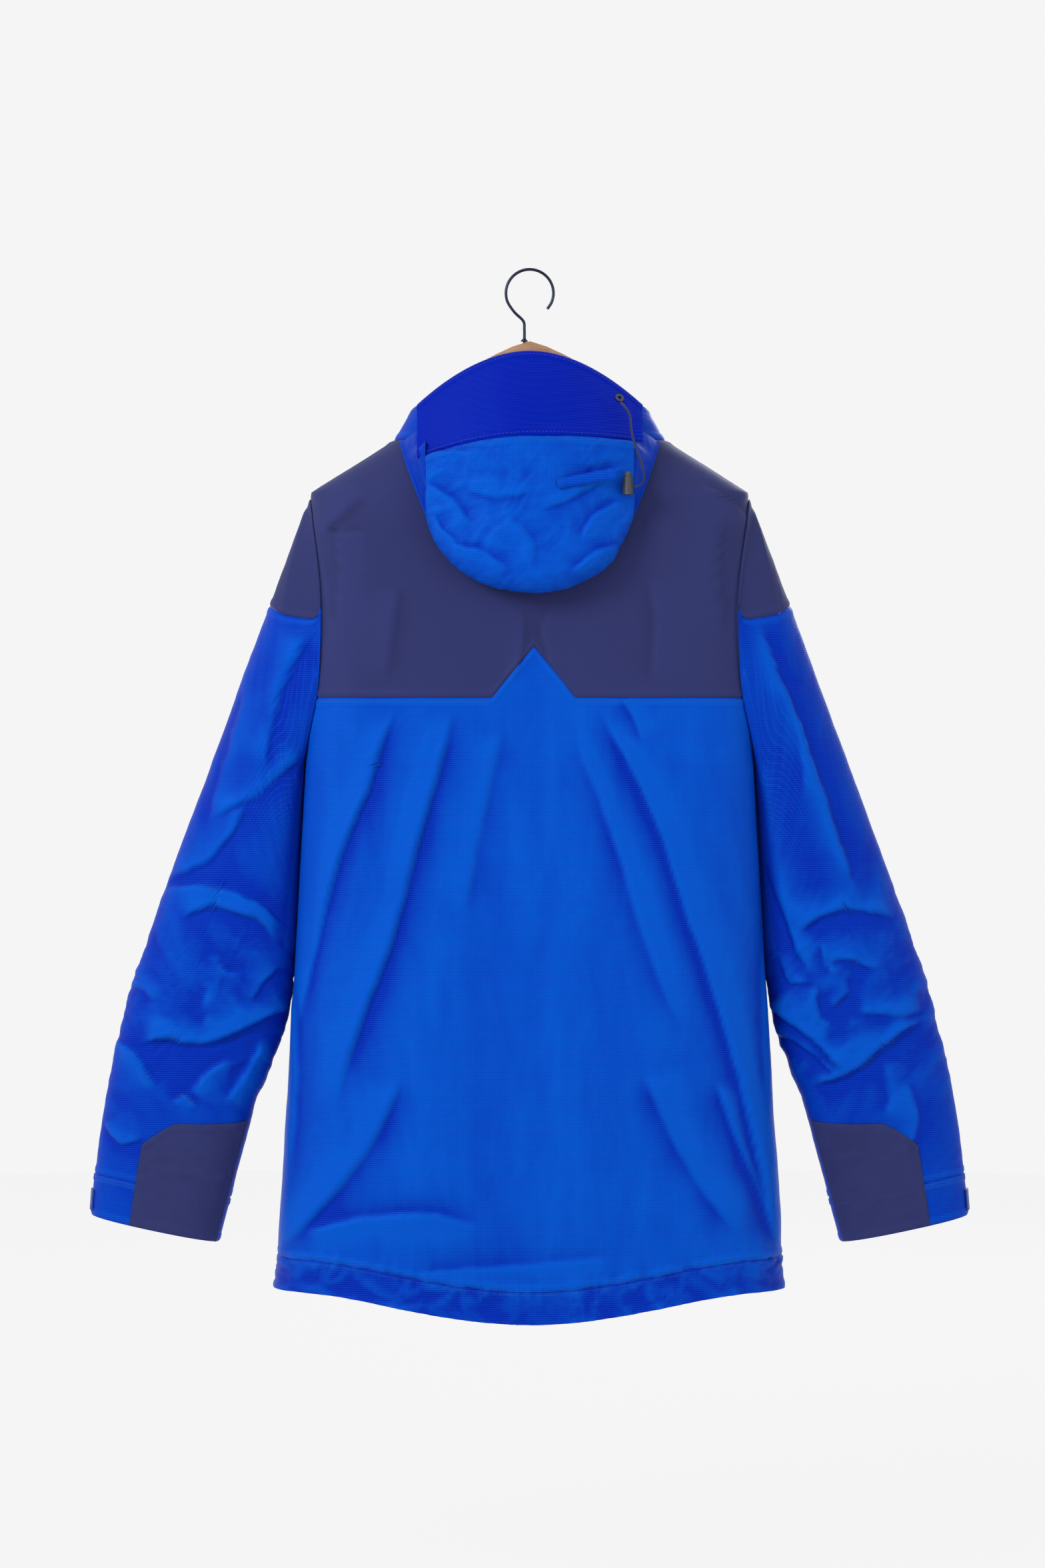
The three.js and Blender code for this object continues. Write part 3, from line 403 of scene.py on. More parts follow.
RIGHT_SLEEVE_FOLDS = [
    ([(213, -330), (229, -375), (250, -423), (266, -471), (285, -523), (307, -592)], 6.0, 9, 0.5),
    ([(236, -392), (252, -440), (258, -500)], 3.0, 9, -0.2),
    ([(206, -460), (209, -520), (223, -566), (239, -609), (253, -649), (271, -671)], 6.5, 9, -0.5),
    ([(251, -623), (269, -607), (296, -600), (342, -610)], 6.5, 10, -0.4),
    ([(271, -633), (275, -648), (283, -663)], 4.0, 6, -0.3),
    ([(279, -648), (296, -647), (326, -658)], 4.0, 7, -0.3),
    ([(299, -652), (296, -680), (279, -696)], 4.5, 7, 0.3),
    ([(269, -672), (269, -698), (288, -713)], 5.0, 7, 0.3),
    ([(232, -642), (243, -672), (268, -668)], 4.0, 6, -0.3),
    ([(219, -692), (245, -708), (271, -728), (298, -759)], 7.0, 9, -0.4),
    ([(262, -768), (296, -758), (320, -740), (348, -716), (375, -702)], 8.0, 9, -0.4),
    ([(306, -697), (340, -700), (372, -697)], 4.5, 12, -0.3),
    ([(223, -719), (241, -722), (267, -740), (290, -759)], 4.5, 7, -0.3),
    ([(352, -760), (366, -800), (352, -838)], 3.0, 8, 0.2),
    ([(330, -742), (337, -775), (331, -800)], 3.0, 8, -0.2),
    ([(298, -664), (303, -716), (298, -758)], 1.1, 2.5, 0.2),
]

HOOD_FOLDS = [
    ([(-100, -172), (-78, -180), (-40, -178)], 3.0, 7, 0.3),
    ([(30, -208), (56, -199), (94, -190)], 5.0, 6, 0.4),
    ([(-96, -205), (-70, -222), (-52, -246)], 4.5, 8, 0.3),
    ([(-60, -214), (-30, -222), (6, -216)], 3.2, 8, -0.3),
    ([(-72, -262), (-44, -270), (-18, -288)], 4.5, 7, 0.4),
    ([(86, -222), (58, -238), (44, -262)], 4.5, 8, -0.3),
    ([(82, -262), (58, -272), (36, -290)], 4.5, 7, -0.4),
    ([(-20, -236), (4, -262), (2, -290)], 2.6, 9, 0.2),
    ([(-88, -236), (-80, -252), (-62, -262)], 3.0, 6, 0.2),
    ([(62, -206), (40, -222), (10, -232)], 3.0, 7, 0.2),
]


def clear_of_line(x, z, start, end, near, far):
    """0 within near millimetres of a line, rising to 1 at far."""
    (ax, az), (bx, bz) = start, end
    share = np.clip(((x - ax) * (bx - ax) + (z - az) * (bz - az)) / ((bx - ax) ** 2 + (bz - az) ** 2), 0, 1)
    gap = np.hypot(x - mix(ax, bx, share), z - mix(az, bz, share))
    return smooth((gap - near) / (far - near))


def body_relief(points):
    """Folds and crumples of the body's cloth, millimetres along its normal."""
    x, y, z = points[..., 0], points[..., 1], points[..., 2]
    behind = smooth((6 - y) / 20)
    faces = []
    for face, folds in ((-1, BACK_FOLDS), (1, FRONT_FOLDS)):
        lift = fold_field(x, z, folds, 1.2)
        lift = lift + 2.2 * noise(x / 70 + face * 9, z / 230, 3)
        below = smooth((YOKE_SEAM_Z + 20 - z) / 60)
        lift = lift + (0.3 + 0.7 * below) * crumple(x / 42 + face * 5, z / 190, 11)
        lift = lift + (0.15 + 0.25 * below) * crumple(x / 14 + face * 5, z / 34, 17, 3)
        faces.append(lift)
    zips = smooth((np.abs(x) - 24) / 26)
    for side in (-1, 1):
        top, low = ((side * px, pz) for px, pz in (POCKET_TOP, POCKET_LOW))
        zips = zips * clear_of_line(x, z, top, low, 9, 26)
        zips = zips * clear_of_line(x, z, (side * 132, -912), (side * 132, -935), 10, 24)
    under_hood = clear_of_line(x, z, (0, -150), (0, -236), 74, 112)
    lift = mix(faces[1] * zips, faces[0] * mix(0.25, 1, under_hood), behind)
    hem = hem_line(x) + HEM_BAND
    pucker = np.exp(-np.abs(z - hem) / 7) * mix(zips, 1, behind)
    band = smooth((hem + 4 - z) / 6) * mix(zips, 1, behind)
    lift = lift + 3.6 * pucker * crumple(x / 15, z / 60, 23, 2) + 3.4 * band * crumple(x / 30, z / 22, 29, 3)
    beside_sleeve = smooth((np.abs(x) - 186) / 18) * smooth((z + 700) / 60)
    lift = mix(lift, np.minimum(lift, 0.4), beside_sleeve)
    touching = beside_sleeve * smooth((UNDERARM - z) / 12) * smooth((y + 22) / 10) * smooth((26 - y) / 10)
    lift = mix(lift, 0.85, touching)
    return lift * smooth((NECK_Z - z) / 20)


def sleeve_relief(points, around, t, folds, seed):
    """Folds and crumples of a sleeve's cloth, millimetres along its normal."""
    x, z = points[..., 0], points[..., 2]
    facing = smooth((-np.sin(around) + 0.15) / 0.5)
    lift = fold_field(x, z, folds, 2.5) * facing
    spread = np.cos(around) * 60
    bend = smooth((t - 0.7) / 0.35) * smooth((1.62 - t) / 0.25)
    lift = lift + (1 - facing) * bend * 4 * crumple(spread / 60 + t * 2, t * 6.0, seed + 40, 2)
    lift = lift + (0.8 + 1.7 * bend) * crumple(spread / 46 + t * 1.5, t * 7 + spread / 70, seed, 4)
    lift = lift + (0.35 + 0.5 * bend) * crumple(spread / 13 + t, t * 14 + spread / 50, seed + 5, 3)
    lift = lift + 1.4 * noise(spread / 50, t * 2.6, seed + 9)
    ends = smooth(t / 0.05) * smooth((2.0 - t) / 0.2 + 0.25)
    return lift * ends


# ---------------------------------------------------------------- mesh makers

def link(mesh, name):
    obj = bpy.data.objects.new(name, mesh)
    bpy.context.scene.collection.objects.link(obj)
    return obj


def grid_normals(points, wrap, centre):
    if wrap:
        along = np.roll(points, -1, axis=0) - np.roll(points, 1, axis=0)
    else:
        along = np.gradient(points, axis=0)
    down = np.gradient(points, axis=1)
    normal = np.cross(along, down)
    normal /= np.linalg.norm(normal, axis=-1, keepdims=True) + 1e-12
    if np.sum(normal * (points - centre)) < 0:
        normal = -normal
    return normal


def cloth_sheet(name, points, centre, lift, materials, wrap=False, thickness=0.7, reach=9, tone=0.0):
    """A thin closed sheet of cloth from a grid of points in millimetres, raised by lift along its normal.

    Its UV map, in metres of cloth, is named cloth, and its attribute fold tells valleys from ridges.
    """
    base = grid_normals(points, wrap, centre)
    surface = points + base * lift[..., None]
    normal = grid_normals(surface, wrap, centre)
    columns, rows = surface.shape[:2]
    outer = surface + normal * thickness / 2
    inner = surface - normal * thickness / 2
    half = columns * rows
    co = np.concatenate([outer.reshape(-1, 3), inner.reshape(-1, 3)]) * MM
    index = np.arange(half).reshape(columns, rows)
    if wrap:
        index = np.concatenate([index, index[:1]])
    a, b, c, d = index[:-1, :-1], index[1:, :-1], index[1:, 1:], index[:-1, 1:]
    quads = np.stack([a, b, c, d], axis=-1).reshape(-1, 4)
    first = co[quads[:, 1]] - co[quads[:, 0]]
    second = co[quads[:, 3]] - co[quads[:, 0]]
    turned = np.sum(np.cross(first, second) * normal.reshape(-1, 3)[quads[:, 0]]) < 0
    if turned:
        quads = quads[:, ::-1]
    faces = [quads, quads[:, ::-1] + half]

    def rim(line):
        strip = np.stack([line[:-1], line[1:], line[1:] + half, line[:-1] + half], axis=-1)
        faces.append(strip)
    edges = [index[:, 0][::-1], index[:, -1]]
    if not wrap:
        edges += [index[0], index[-1][::-1]]
    for line in edges:
        rim(line if turned else line[::-1])
    quads_all = np.concatenate(faces)
    mesh = bpy.data.meshes.new(name)
    mesh.vertices.add(len(co))
    mesh.vertices.foreach_set("co", co.ravel())
    mesh.loops.add(quads_all.size)
    mesh.loops.foreach_set("vertex_index", quads_all.ravel())
    mesh.polygons.add(len(quads_all))
    mesh.polygons.foreach_set("loop_start", np.arange(0, quads_all.size, 4))
    mesh.polygons.foreach_set("use_smooth", np.ones(len(quads_all), bool))
    slots = np.zeros(len(quads_all), int)
    slots[len(quads):2 * len(quads)] = 1
    mesh.polygons.foreach_set("material_index", slots)
    for material in materials:
        mesh.materials.append(material)
    grain = grain_map(points)
    layer = mesh.uv_layers.new(name="cloth")
    flat = np.concatenate([grain.reshape(-1, 2), grain.reshape(-1, 2)]) * MM
    layer.data.foreach_set("uv", flat[quads_all.ravel()].ravel())
    # Painted shade: the fold attribute rises where the sheet lies below its blurred self, in creases and
    # valleys, plus a painted shade over the whole piece.
    fold_shade = np.clip((blurred(lift, reach) - lift) / 2.6 + 0.22 + tone, 0, 1)
    attribute = mesh.attributes.new("fold", "FLOAT", "POINT")
    attribute.data.foreach_set("value", np.concatenate([fold_shade.ravel(), fold_shade.ravel()]))
    mesh.update(calc_edges=True)
    mesh.validate()
    vertex_normals = np.concatenate([normal.reshape(-1, 3), -normal.reshape(-1, 3)])
    mesh.normals_split_custom_set_from_vertices(vertex_normals)
    return link(mesh, name)


def grain_map(points):
    """Cloth coordinates in millimetres: across from the middle column, and down the height."""
    across = np.linalg.norm(np.diff(points[..., :2], axis=0), axis=-1)
    u = np.concatenate([np.zeros((1, points.shape[1])), np.cumsum(across, axis=0)])
    u = u - u[points.shape[0] // 2][None, :]
    return np.stack([u, points[..., 2]], axis=-1)


def edge_distance(points, axis, last):
    """Distance in millimetres of each grid point from the first or last row or column."""
    step = np.linalg.norm(np.diff(points, axis=axis), axis=-1)
    if last:
        step = np.flip(step, axis=axis)
    shape = list(step.shape)
    shape[axis] = 1
    run = np.concatenate([np.zeros(shape), np.cumsum(step, axis=axis)], axis=axis)
    return np.flip(run, axis=axis) if last else run


def seam_lip(distance, width=6.0, height=0.9):
    """The doubled cloth beside a seam: raised for its allowance, rolled down at the seam itself."""
    raised = smooth((width + 1.5 - distance) / 1.5) * height
    rolled = np.exp(-(distance / 1.1) ** 2) * (height + 0.5)
    return raised - rolled


def tube(name, path, radius, material, sides=12, caps=True):
    """A round tube of one radius, in millimetres, along a smooth path of points."""
    curve = bpy.data.curves.new(name, "CURVE")
    curve.dimensions = "3D"
    spline = curve.splines.new("POLY")
    spline.points.add(len(path) - 1)
    for point, place in zip(spline.points, path):
        point.co = (*[v * MM for v in place], 1)
    curve.bevel_depth = radius * MM
    curve.bevel_resolution = sides // 4
    curve.use_fill_caps = caps
    curve.materials.append(material)
    obj = bpy.data.objects.new(name, curve)
    bpy.context.scene.collection.objects.link(obj)
    return obj


def as_mesh(obj):
    """The object's evaluated shape as a plain mesh under the same name."""
    graph = bpy.context.evaluated_depsgraph_get()
    mesh = bpy.data.meshes.new_from_object(obj.evaluated_get(graph), depsgraph=graph)
    name = obj.name
    bpy.data.objects.remove(obj)
    result = link(mesh, name)
    result.name = name
    for polygon in mesh.polygons:
        polygon.use_smooth = True
    return result


# ---------------------------------------------------------------- finishes

class Finish:
    """A material being made: its nodes, its links and its shader."""

    def __init__(self, name, sockets):
        self.material = bpy.data.materials.new(name)
        self.material.use_nodes = True
        self.nodes = self.material.node_tree.nodes
        self.links = self.material.node_tree.links
        self.shader = self.nodes["Principled BSDF"]
        self.set(self.shader, sockets)
        self.material.diffuse_color = self.shader.inputs["Base Color"].default_value

    def set(self, node, inputs):
        for key, value in inputs.items():
            if isinstance(value, bpy.types.NodeSocket):
                self.links.new(value, node.inputs[key])
            else:
                node.inputs[key].default_value = value

    def node(self, kind, inputs, output=0, **settings):
        node = self.nodes.new("ShaderNode" + kind)
        for key, value in settings.items():
            setattr(node, key, value)
        self.set(node, inputs)
        return node.outputs[output]

    def math(self, operation, *values):
        return self.node("Math", dict(enumerate(values)), operation=operation)

    def mix(self, factor, a, b, blend="MIX"):
        return self.node("Mix", {0: factor, 6: a, 7: b}, 2, data_type="RGBA", blend_type=blend)

    def place(self):
        return self.node("TexCoord", {}, "Object")

    def noise(self, scale, detail=3.0, roughness=0.55, stretch=(1, 1, 1)):
        place = self.node("Mapping", {"Vector": self.place(), "Scale": stretch})
        sizes = {"Vector": place, "Scale": scale, "Detail": detail, "Roughness": roughness}
        return self.node("TexNoise", sizes)

    def line(self, value, pitch, width):
        """1 on lines a pitch apart, fading to 0 between them."""
        turn = self.math("PINGPONG", self.math("MULTIPLY", value, 1 / pitch), 0.5)
        return self.node("MapRange", {"Value": turn, "From Max": width, "To Min": 1.0, "To Max": 0.0},
                         interpolation_type="SMOOTHSTEP")

    def bump(self, layers):
        """Chains heights, each with its distance in millimetres, into the shader's normal."""
        normal = None
        for height, distance in layers:
            inputs = {"Height": height, "Distance": distance * MM, "Strength": 1.0}
            if normal is not None:
                inputs["Normal"] = normal
            normal = self.node("Bump", inputs)
        self.set(self.shader, {"Normal": normal})


def rgba(colour):
    return (*colour[:3], 1.0)


def shell_cloth(name, lit, deep, pitch=2.0, roughness=0.5, grid=0.16, crinkle=0.5):
    """Laminated shell cloth: deeper in its folds, with a raised ripstop grid."""
    finish = Finish(name, {"Base Color": rgba(lit), "Roughness": roughness, "Specular IOR Level": 0.14,
                           "Specular Tint": (0.1, 0.35, 1.0, 1.0), "Sheen Weight": 0.04,
                           "Sheen Roughness": 0.4, "Sheen Tint": (0.05, 0.3, 1.0, 1.0)})
    # Painted shade: the fold attribute mixes the lit colour toward the deep one in creases; the patchy noise
    # adds a tone that differs at random.
    fold = finish.node("Attribute", {}, "Fac", attribute_name="fold")
    patchy = finish.noise(9.0, 3.0)
    shade_and_wear = finish.math("ADD", fold, finish.math("MULTIPLY", finish.math("SUBTRACT", patchy, 0.5), 0.3))
    colour = finish.mix(shade_and_wear, rgba(lit), rgba(deep))
    weave = finish.node("SeparateXYZ", {0: finish.node("UVMap", {}, uv_map="cloth")})
    across = weave.node.outputs[0]
    down = weave.node.outputs[1]
    rows = finish.line(down, pitch * MM, 0.2)
    columns = finish.line(across, pitch * MM, 0.16)
    lines = finish.math("MAXIMUM", rows, finish.math("MULTIPLY", columns, 0.6))
    ripstop = rgba([min(1, 0.03 + 2.1 * c) for c in lit])
    lighter = finish.mix(finish.math("MULTIPLY", lines, grid), colour, ripstop)
    finish.set(finish.shader, {"Base Color": lighter})
    fine = finish.node("TexVoronoi", {"Vector": finish.place(), "Scale": 150.0, "Detail": 1.0}, "Distance")
    finish.bump([(lines, 0.06), (finish.noise(1700.0, 2.0), 0.04), (finish.noise(95.0, 4.0), crinkle),
                 (fine, 0.25 * crinkle)])
    return finish.material


def plain_cloth(name, lit, deep, roughness=0.62, pitch=0.45, crinkle=0.35):
    """Matte plain-woven cloth with a fine diagonal thread."""
    finish = Finish(name, {"Base Color": rgba(lit), "Roughness": roughness, "Specular IOR Level": 0.18,
                           "Specular Tint": (0.45, 0.5, 1.0, 1.0), "Sheen Weight": 0.05,
                           "Sheen Roughness": 0.5, "Sheen Tint": (0.45, 0.5, 1.0, 1.0)})
    # Painted shade: the fold attribute, with a little random noise, mixes the lit colour toward the deep one
    # in creases.
    fold = finish.node("Attribute", {}, "Fac", attribute_name="fold")
    shade = finish.math("ADD", fold, finish.math("MULTIPLY", finish.noise(14.0, 4.0), 0.25))
    colour = finish.mix(shade, rgba(lit), rgba(deep))
    weave = finish.node("SeparateXYZ", {0: finish.node("UVMap", {}, uv_map="cloth")})
    slant = finish.math("ADD", weave.node.outputs[0], weave.node.outputs[1])
    thread = finish.line(slant, pitch * MM, 0.4)
    # Fine lighter specks of worn thread, at random.
    speck = finish.noise(2600.0, 2.0)
    shade_and_wear = rgba([min(1, 0.02 + 1.7 * c) for c in lit])
    colour = finish.mix(finish.math("MULTIPLY", speck, 0.16), colour, shade_and_wear)
    finish.set(finish.shader, {"Base Color": colour})
    finish.bump([(thread, 0.05), (speck, 0.05), (finish.noise(70.0, 4.0), crinkle)])
    return finish.material


def moulded(name, colour, roughness=0.4, grain=0.08, specular=0.5):
    """Moulded plastic or rubber with a slight grain and paler rubbed spots."""
    finish = Finish(name, {"Base Color": rgba(colour), "Roughness": roughness,
                           "Specular IOR Level": specular})
    rubbed = finish.noise(240.0, 4.0)
    lighter = rgba([min(1, 0.02 + 1.5 * c) for c in colour])
    spots = finish.mix(finish.math("MULTIPLY", rubbed, 0.5), rgba(colour), lighter)
    finish.set(finish.shader, {"Base Color": spots})
    finish.bump([(finish.noise(2200.0, 2.0), grain), (rubbed, grain)])
    return finish.material


def metal(name, colour, roughness=0.3):
    """Plated steel with fine drawing marks and uneven tarnish."""
    finish = Finish(name, {"Base Color": rgba(colour), "Metallic": 1.0, "Roughness": roughness})
    tarnish = finish.noise(130.0, 5.0)
    darker = rgba([0.45 * c for c in colour])
    finish.set(finish.shader, {"Base Color": finish.mix(tarnish, rgba(colour), darker)})
    finish.bump([(finish.noise(900.0, 2.0, 0.5, (1, 1, 0.08)), 0.006)])
    return finish.material


def timber(name, pale, dark):
    """Varnished hardwood with its grain along the bar."""
    finish = Finish(name, {"Base Color": rgba(pale), "Roughness": 0.42, "Specular IOR Level": 0.45,
                           "Coat Weight": 0.25, "Coat Roughness": 0.25})
    grain = finish.noise(160.0, 6.0, 0.65, (0.07, 1, 1))
    pores = finish.noise(900.0, 3.0, 0.6, (0.03, 1, 1))
    steep = finish.node("MapRange", {"Value": grain, "From Min": 0.35, "From Max": 0.68})
    colour = finish.mix(steep, rgba(pale), rgba(dark))
    colour = finish.mix(finish.math("MULTIPLY", pores, 0.35), colour, rgba([0.5 * c for c in dark]))
    finish.set(finish.shader, {"Base Color": colour})
    finish.bump([(pores, 0.06), (grain, 0.12)])
    return finish.material


def corded(name, colour, pitch=0.8):
    """Braided or woven tape with a fine diagonal rib."""
    finish = Finish(name, {"Base Color": rgba(colour), "Roughness": 0.7, "Specular IOR Level": 0.25,
                           "Sheen Weight": 0.2, "Sheen Roughness": 0.5})
    axes = finish.node("SeparateXYZ", {0: finish.place()})
    x, y, z = axes.node.outputs
    one = finish.line(finish.math("ADD", finish.math("ADD", x, y), z), pitch * MM, 0.5)
    two = finish.line(finish.math("SUBTRACT", z, finish.math("ADD", x, y)), pitch * MM, 0.5)
    braid = finish.math("MAXIMUM", one, two)
    darker = rgba([0.55 * c for c in colour])
    colour_out = finish.mix(finish.math("MULTIPLY", braid, 0.5), darker, rgba(colour))
    finish.set(finish.shader, {"Base Color": colour_out})
    finish.bump([(braid, 0.12), (finish.noise(1500.0, 2.0), 0.05)])
    return finish.material


finishes = {}


def make_finishes():
    if finishes:
        return
    cloth = bpy.context.scene.jacket_cloth
    trim = bpy.context.scene.jacket_trim
    pitch = cloth.ripstop_pitch / MM
    # Each cloth finish takes its lit colour and its painted shade for the creases; the brim's first colour is
    # the shell's blue painted darker as shade, and the linings' shade is a darker copy of their colour.
    finishes.update(
        blue_shell=shell_cloth("Blue ripstop shell", cloth.shell_colour, cloth.shell_painted_shade, pitch),
        navy_shell=plain_cloth("Navy yoke cloth", cloth.yoke_colour, cloth.yoke_painted_shade),
        brim_shell=shell_cloth("Brim cloth", cloth.brim_shaded_colour, cloth.shell_painted_shade, pitch,
                               grid=0.1, crinkle=0.2),
        lining=plain_cloth("Laminated lining", cloth.lining_colour, [0.6 * c for c in cloth.lining_colour]),
        thread_blue=corded("Blue thread", [0.8 * c + 0.002 for c in cloth.shell_colour], 0.5),
        thread_navy=corded("Navy thread", [0.9 * c for c in cloth.yoke_colour], 0.5),
        hanger_wood=timber("Beech bar", trim.wood_colour, trim.wood_grain),
        hook_wire=metal("Dark steel wire", trim.wire_colour, 0.34),
        zip_metal=metal("Painted zip metal", (0.06, 0.065, 0.08), 0.38),
        eyelet_metal=metal("Plated eyelet", (0.12, 0.12, 0.14), 0.35),
        tab_rubber=moulded("Cuff tab rubber", (0.006, 0.03, 0.2), 0.55, 0.05),
        pull_rubber=moulded("Zip pull rubber", (0.004, 0.02, 0.16), 0.5, 0.05),
        zip_teeth=moulded("Zip teeth", (0.01, 0.02, 0.09), 0.35, 0.02),
        lock_plastic=moulded("Cord lock plastic", (0.012, 0.013, 0.02), 0.4, 0.04),
        button_plastic=moulded("Cord lock button", (0.02, 0.022, 0.035), 0.42, 0.04),
        pocket_lining=plain_cloth("Pocket lining", (0.02, 0.03, 0.08), (0.01, 0.015, 0.05)),
        zip_tape=corded("Zip tape", (0.008, 0.02, 0.11)),
        cord=corded("Braided cord", (0.010, 0.016, 0.07), 0.7),
    )


def dress(*nodes):
    """Gives carried-over nodes the finish of their own slot."""
    slots = {row["node"]: row["material_slot"] for row in frame["record"]["subparts"]}
    for name in nodes:
        for place in frame["nodes"][name].material_slots:
            place.material = finishes[slots[name]]


# ---------------------------------------------------------------- settings

class JacketCloth(bpy.types.PropertyGroup):
    """Sizes and colours of the cloth."""
    shell_colour: bpy.props.FloatVectorProperty(
        name="Shell", description="Blue of the shell cloth where it lies flat",
        subtype="COLOR", size=3, min=0, max=1, default=(0.0, 0.062, 0.42))
    # Painted shade: the shell's blue in its creases, mixed in by the fold attribute.
    shell_painted_shade: bpy.props.FloatVectorProperty(
        name="Shell in folds", description="Deeper blue of the shell cloth in its folds",
        subtype="COLOR", size=3, min=0, max=1, default=(0.0, 0.013, 0.29))
    yoke_colour: bpy.props.FloatVectorProperty(
        name="Yoke", description="Navy of the yoke, sleeve caps and forearm patches",
        subtype="COLOR", size=3, min=0, max=1, default=(0.021, 0.026, 0.108))
    # Painted shade: the yoke's navy in its creases, mixed in by the fold attribute.
    yoke_painted_shade: bpy.props.FloatVectorProperty(
        name="Yoke in folds", description="Navy of the yoke in its folds",
        subtype="COLOR", size=3, min=0, max=1, default=(0.014, 0.016, 0.066))
    # Painted shade: the brim is the shell's blue painted darker for the shade it stands in as it leans
    # forward.
    brim_shaded_colour: bpy.props.FloatVectorProperty(
        name="Brim", description="Blue of the hood's stiffened brim",
        subtype="COLOR", size=3, min=0, max=1, default=(0.0, 0.006, 0.27))
    lining_colour: bpy.props.FloatVectorProperty(
        name="Lining", description="Colour of the cloth's inner face",
        subtype="COLOR", size=3, min=0, max=1, default=(0.035, 0.045, 0.085))
    ripstop_pitch: bpy.props.FloatProperty(
        name="Ripstop pitch", description="Distance between the ripstop threads",
        subtype="DISTANCE", unit="LENGTH", min=0.001, max=0.01, default=0.002)
    thickness: bpy.props.FloatProperty(
        name="Cloth thickness", description="Thickness of the laminated cloth",
        subtype="DISTANCE", unit="LENGTH", min=0.0003, max=0.002, default=0.0007)
    fold_depth: bpy.props.FloatProperty(
        name="Fold depth", description="Share of the folds' full depth",
        subtype="FACTOR", min=0, max=1.5, default=1.0)


class JacketTrim(bpy.types.PropertyGroup):
    """Sizes and colours of the trim, the stitches and the hanger."""
    stitch_length: bpy.props.FloatProperty(
        name="Stitch length", description="Length of one stitch",
        subtype="DISTANCE", unit="LENGTH", min=0.001, max=0.01, default=0.0026)
    stitch_pitch: bpy.props.FloatProperty(
        name="Stitch pitch", description="Distance from one stitch to the next",
        subtype="DISTANCE", unit="LENGTH", min=0.001, max=0.02, default=0.0036)
    stitch_thickness: bpy.props.FloatProperty(
        name="Thread thickness", description="Thickness of the sewing thread",
        subtype="DISTANCE", unit="LENGTH", min=0.0001, max=0.002, default=0.00045)
    tooth_pitch: bpy.props.FloatProperty(
        name="Tooth pitch", description="Distance from one zip tooth to the next",
        subtype="DISTANCE", unit="LENGTH", min=0.001, max=0.01, default=0.0026)
    wood_colour: bpy.props.FloatVectorProperty(
        name="Wood", description="Pale colour of the hanger's wood",
        subtype="COLOR", size=3, min=0, max=1, default=(0.38, 0.20, 0.10))
    wood_grain: bpy.props.FloatVectorProperty(
        name="Grain", description="Dark colour of the wood's grain",
        subtype="COLOR", size=3, min=0, max=1, default=(0.24, 0.11, 0.05))
    wire_colour: bpy.props.FloatVectorProperty(
        name="Wire", description="Colour of the hanger's hook",
        subtype="COLOR", size=3, min=0, max=1, default=(0.035, 0.042, 0.075))


class JacketStage(bpy.types.PropertyGroup):
    """Camera, light and floor."""
    lens: bpy.props.FloatProperty(
        name="Lens", description="Focal length on a frame 36 mm high",
        subtype="DISTANCE_CAMERA", min=20, max=300, default=85.0)
    distance: bpy.props.FloatProperty(
        name="Distance", description="From the camera to the back of the jacket",
        subtype="DISTANCE", unit="LENGTH", min=1, max=10, default=3.44)
    key_power: bpy.props.FloatProperty(
        name="Key light", description="Power of the main soft light",
        subtype="POWER", unit="POWER", min=0, max=500, default=62.0)
    fill_power: bpy.props.FloatProperty(
        name="Fill light", description="Power of the soft light on the other side",
        subtype="POWER", unit="POWER", min=0, max=500, default=14.0)
    background: bpy.props.FloatProperty(
        name="Background", description="Brightness of the plain background",
        subtype="FACTOR", min=0, max=1, default=0.913)


# ---------------------------------------------------------------- stage and cord

STAGE_CENTRE = (-0.0068, -0.052, -0.484)
FLOOR_Z = -1.26


def soft_light(name, place, size, power, aim):
    light = bpy.data.lights.new(name, "AREA")
    light.shape = "RECTANGLE"
    light.size, light.size_y = size
    light.energy = power
    obj = bpy.data.objects.new(name, light)
    bpy.context.scene.collection.objects.link(obj)
    obj.location = place
    obj.rotation_euler = (Vector(aim) - Vector(place)).to_track_quat("-Z", "Y").to_euler()


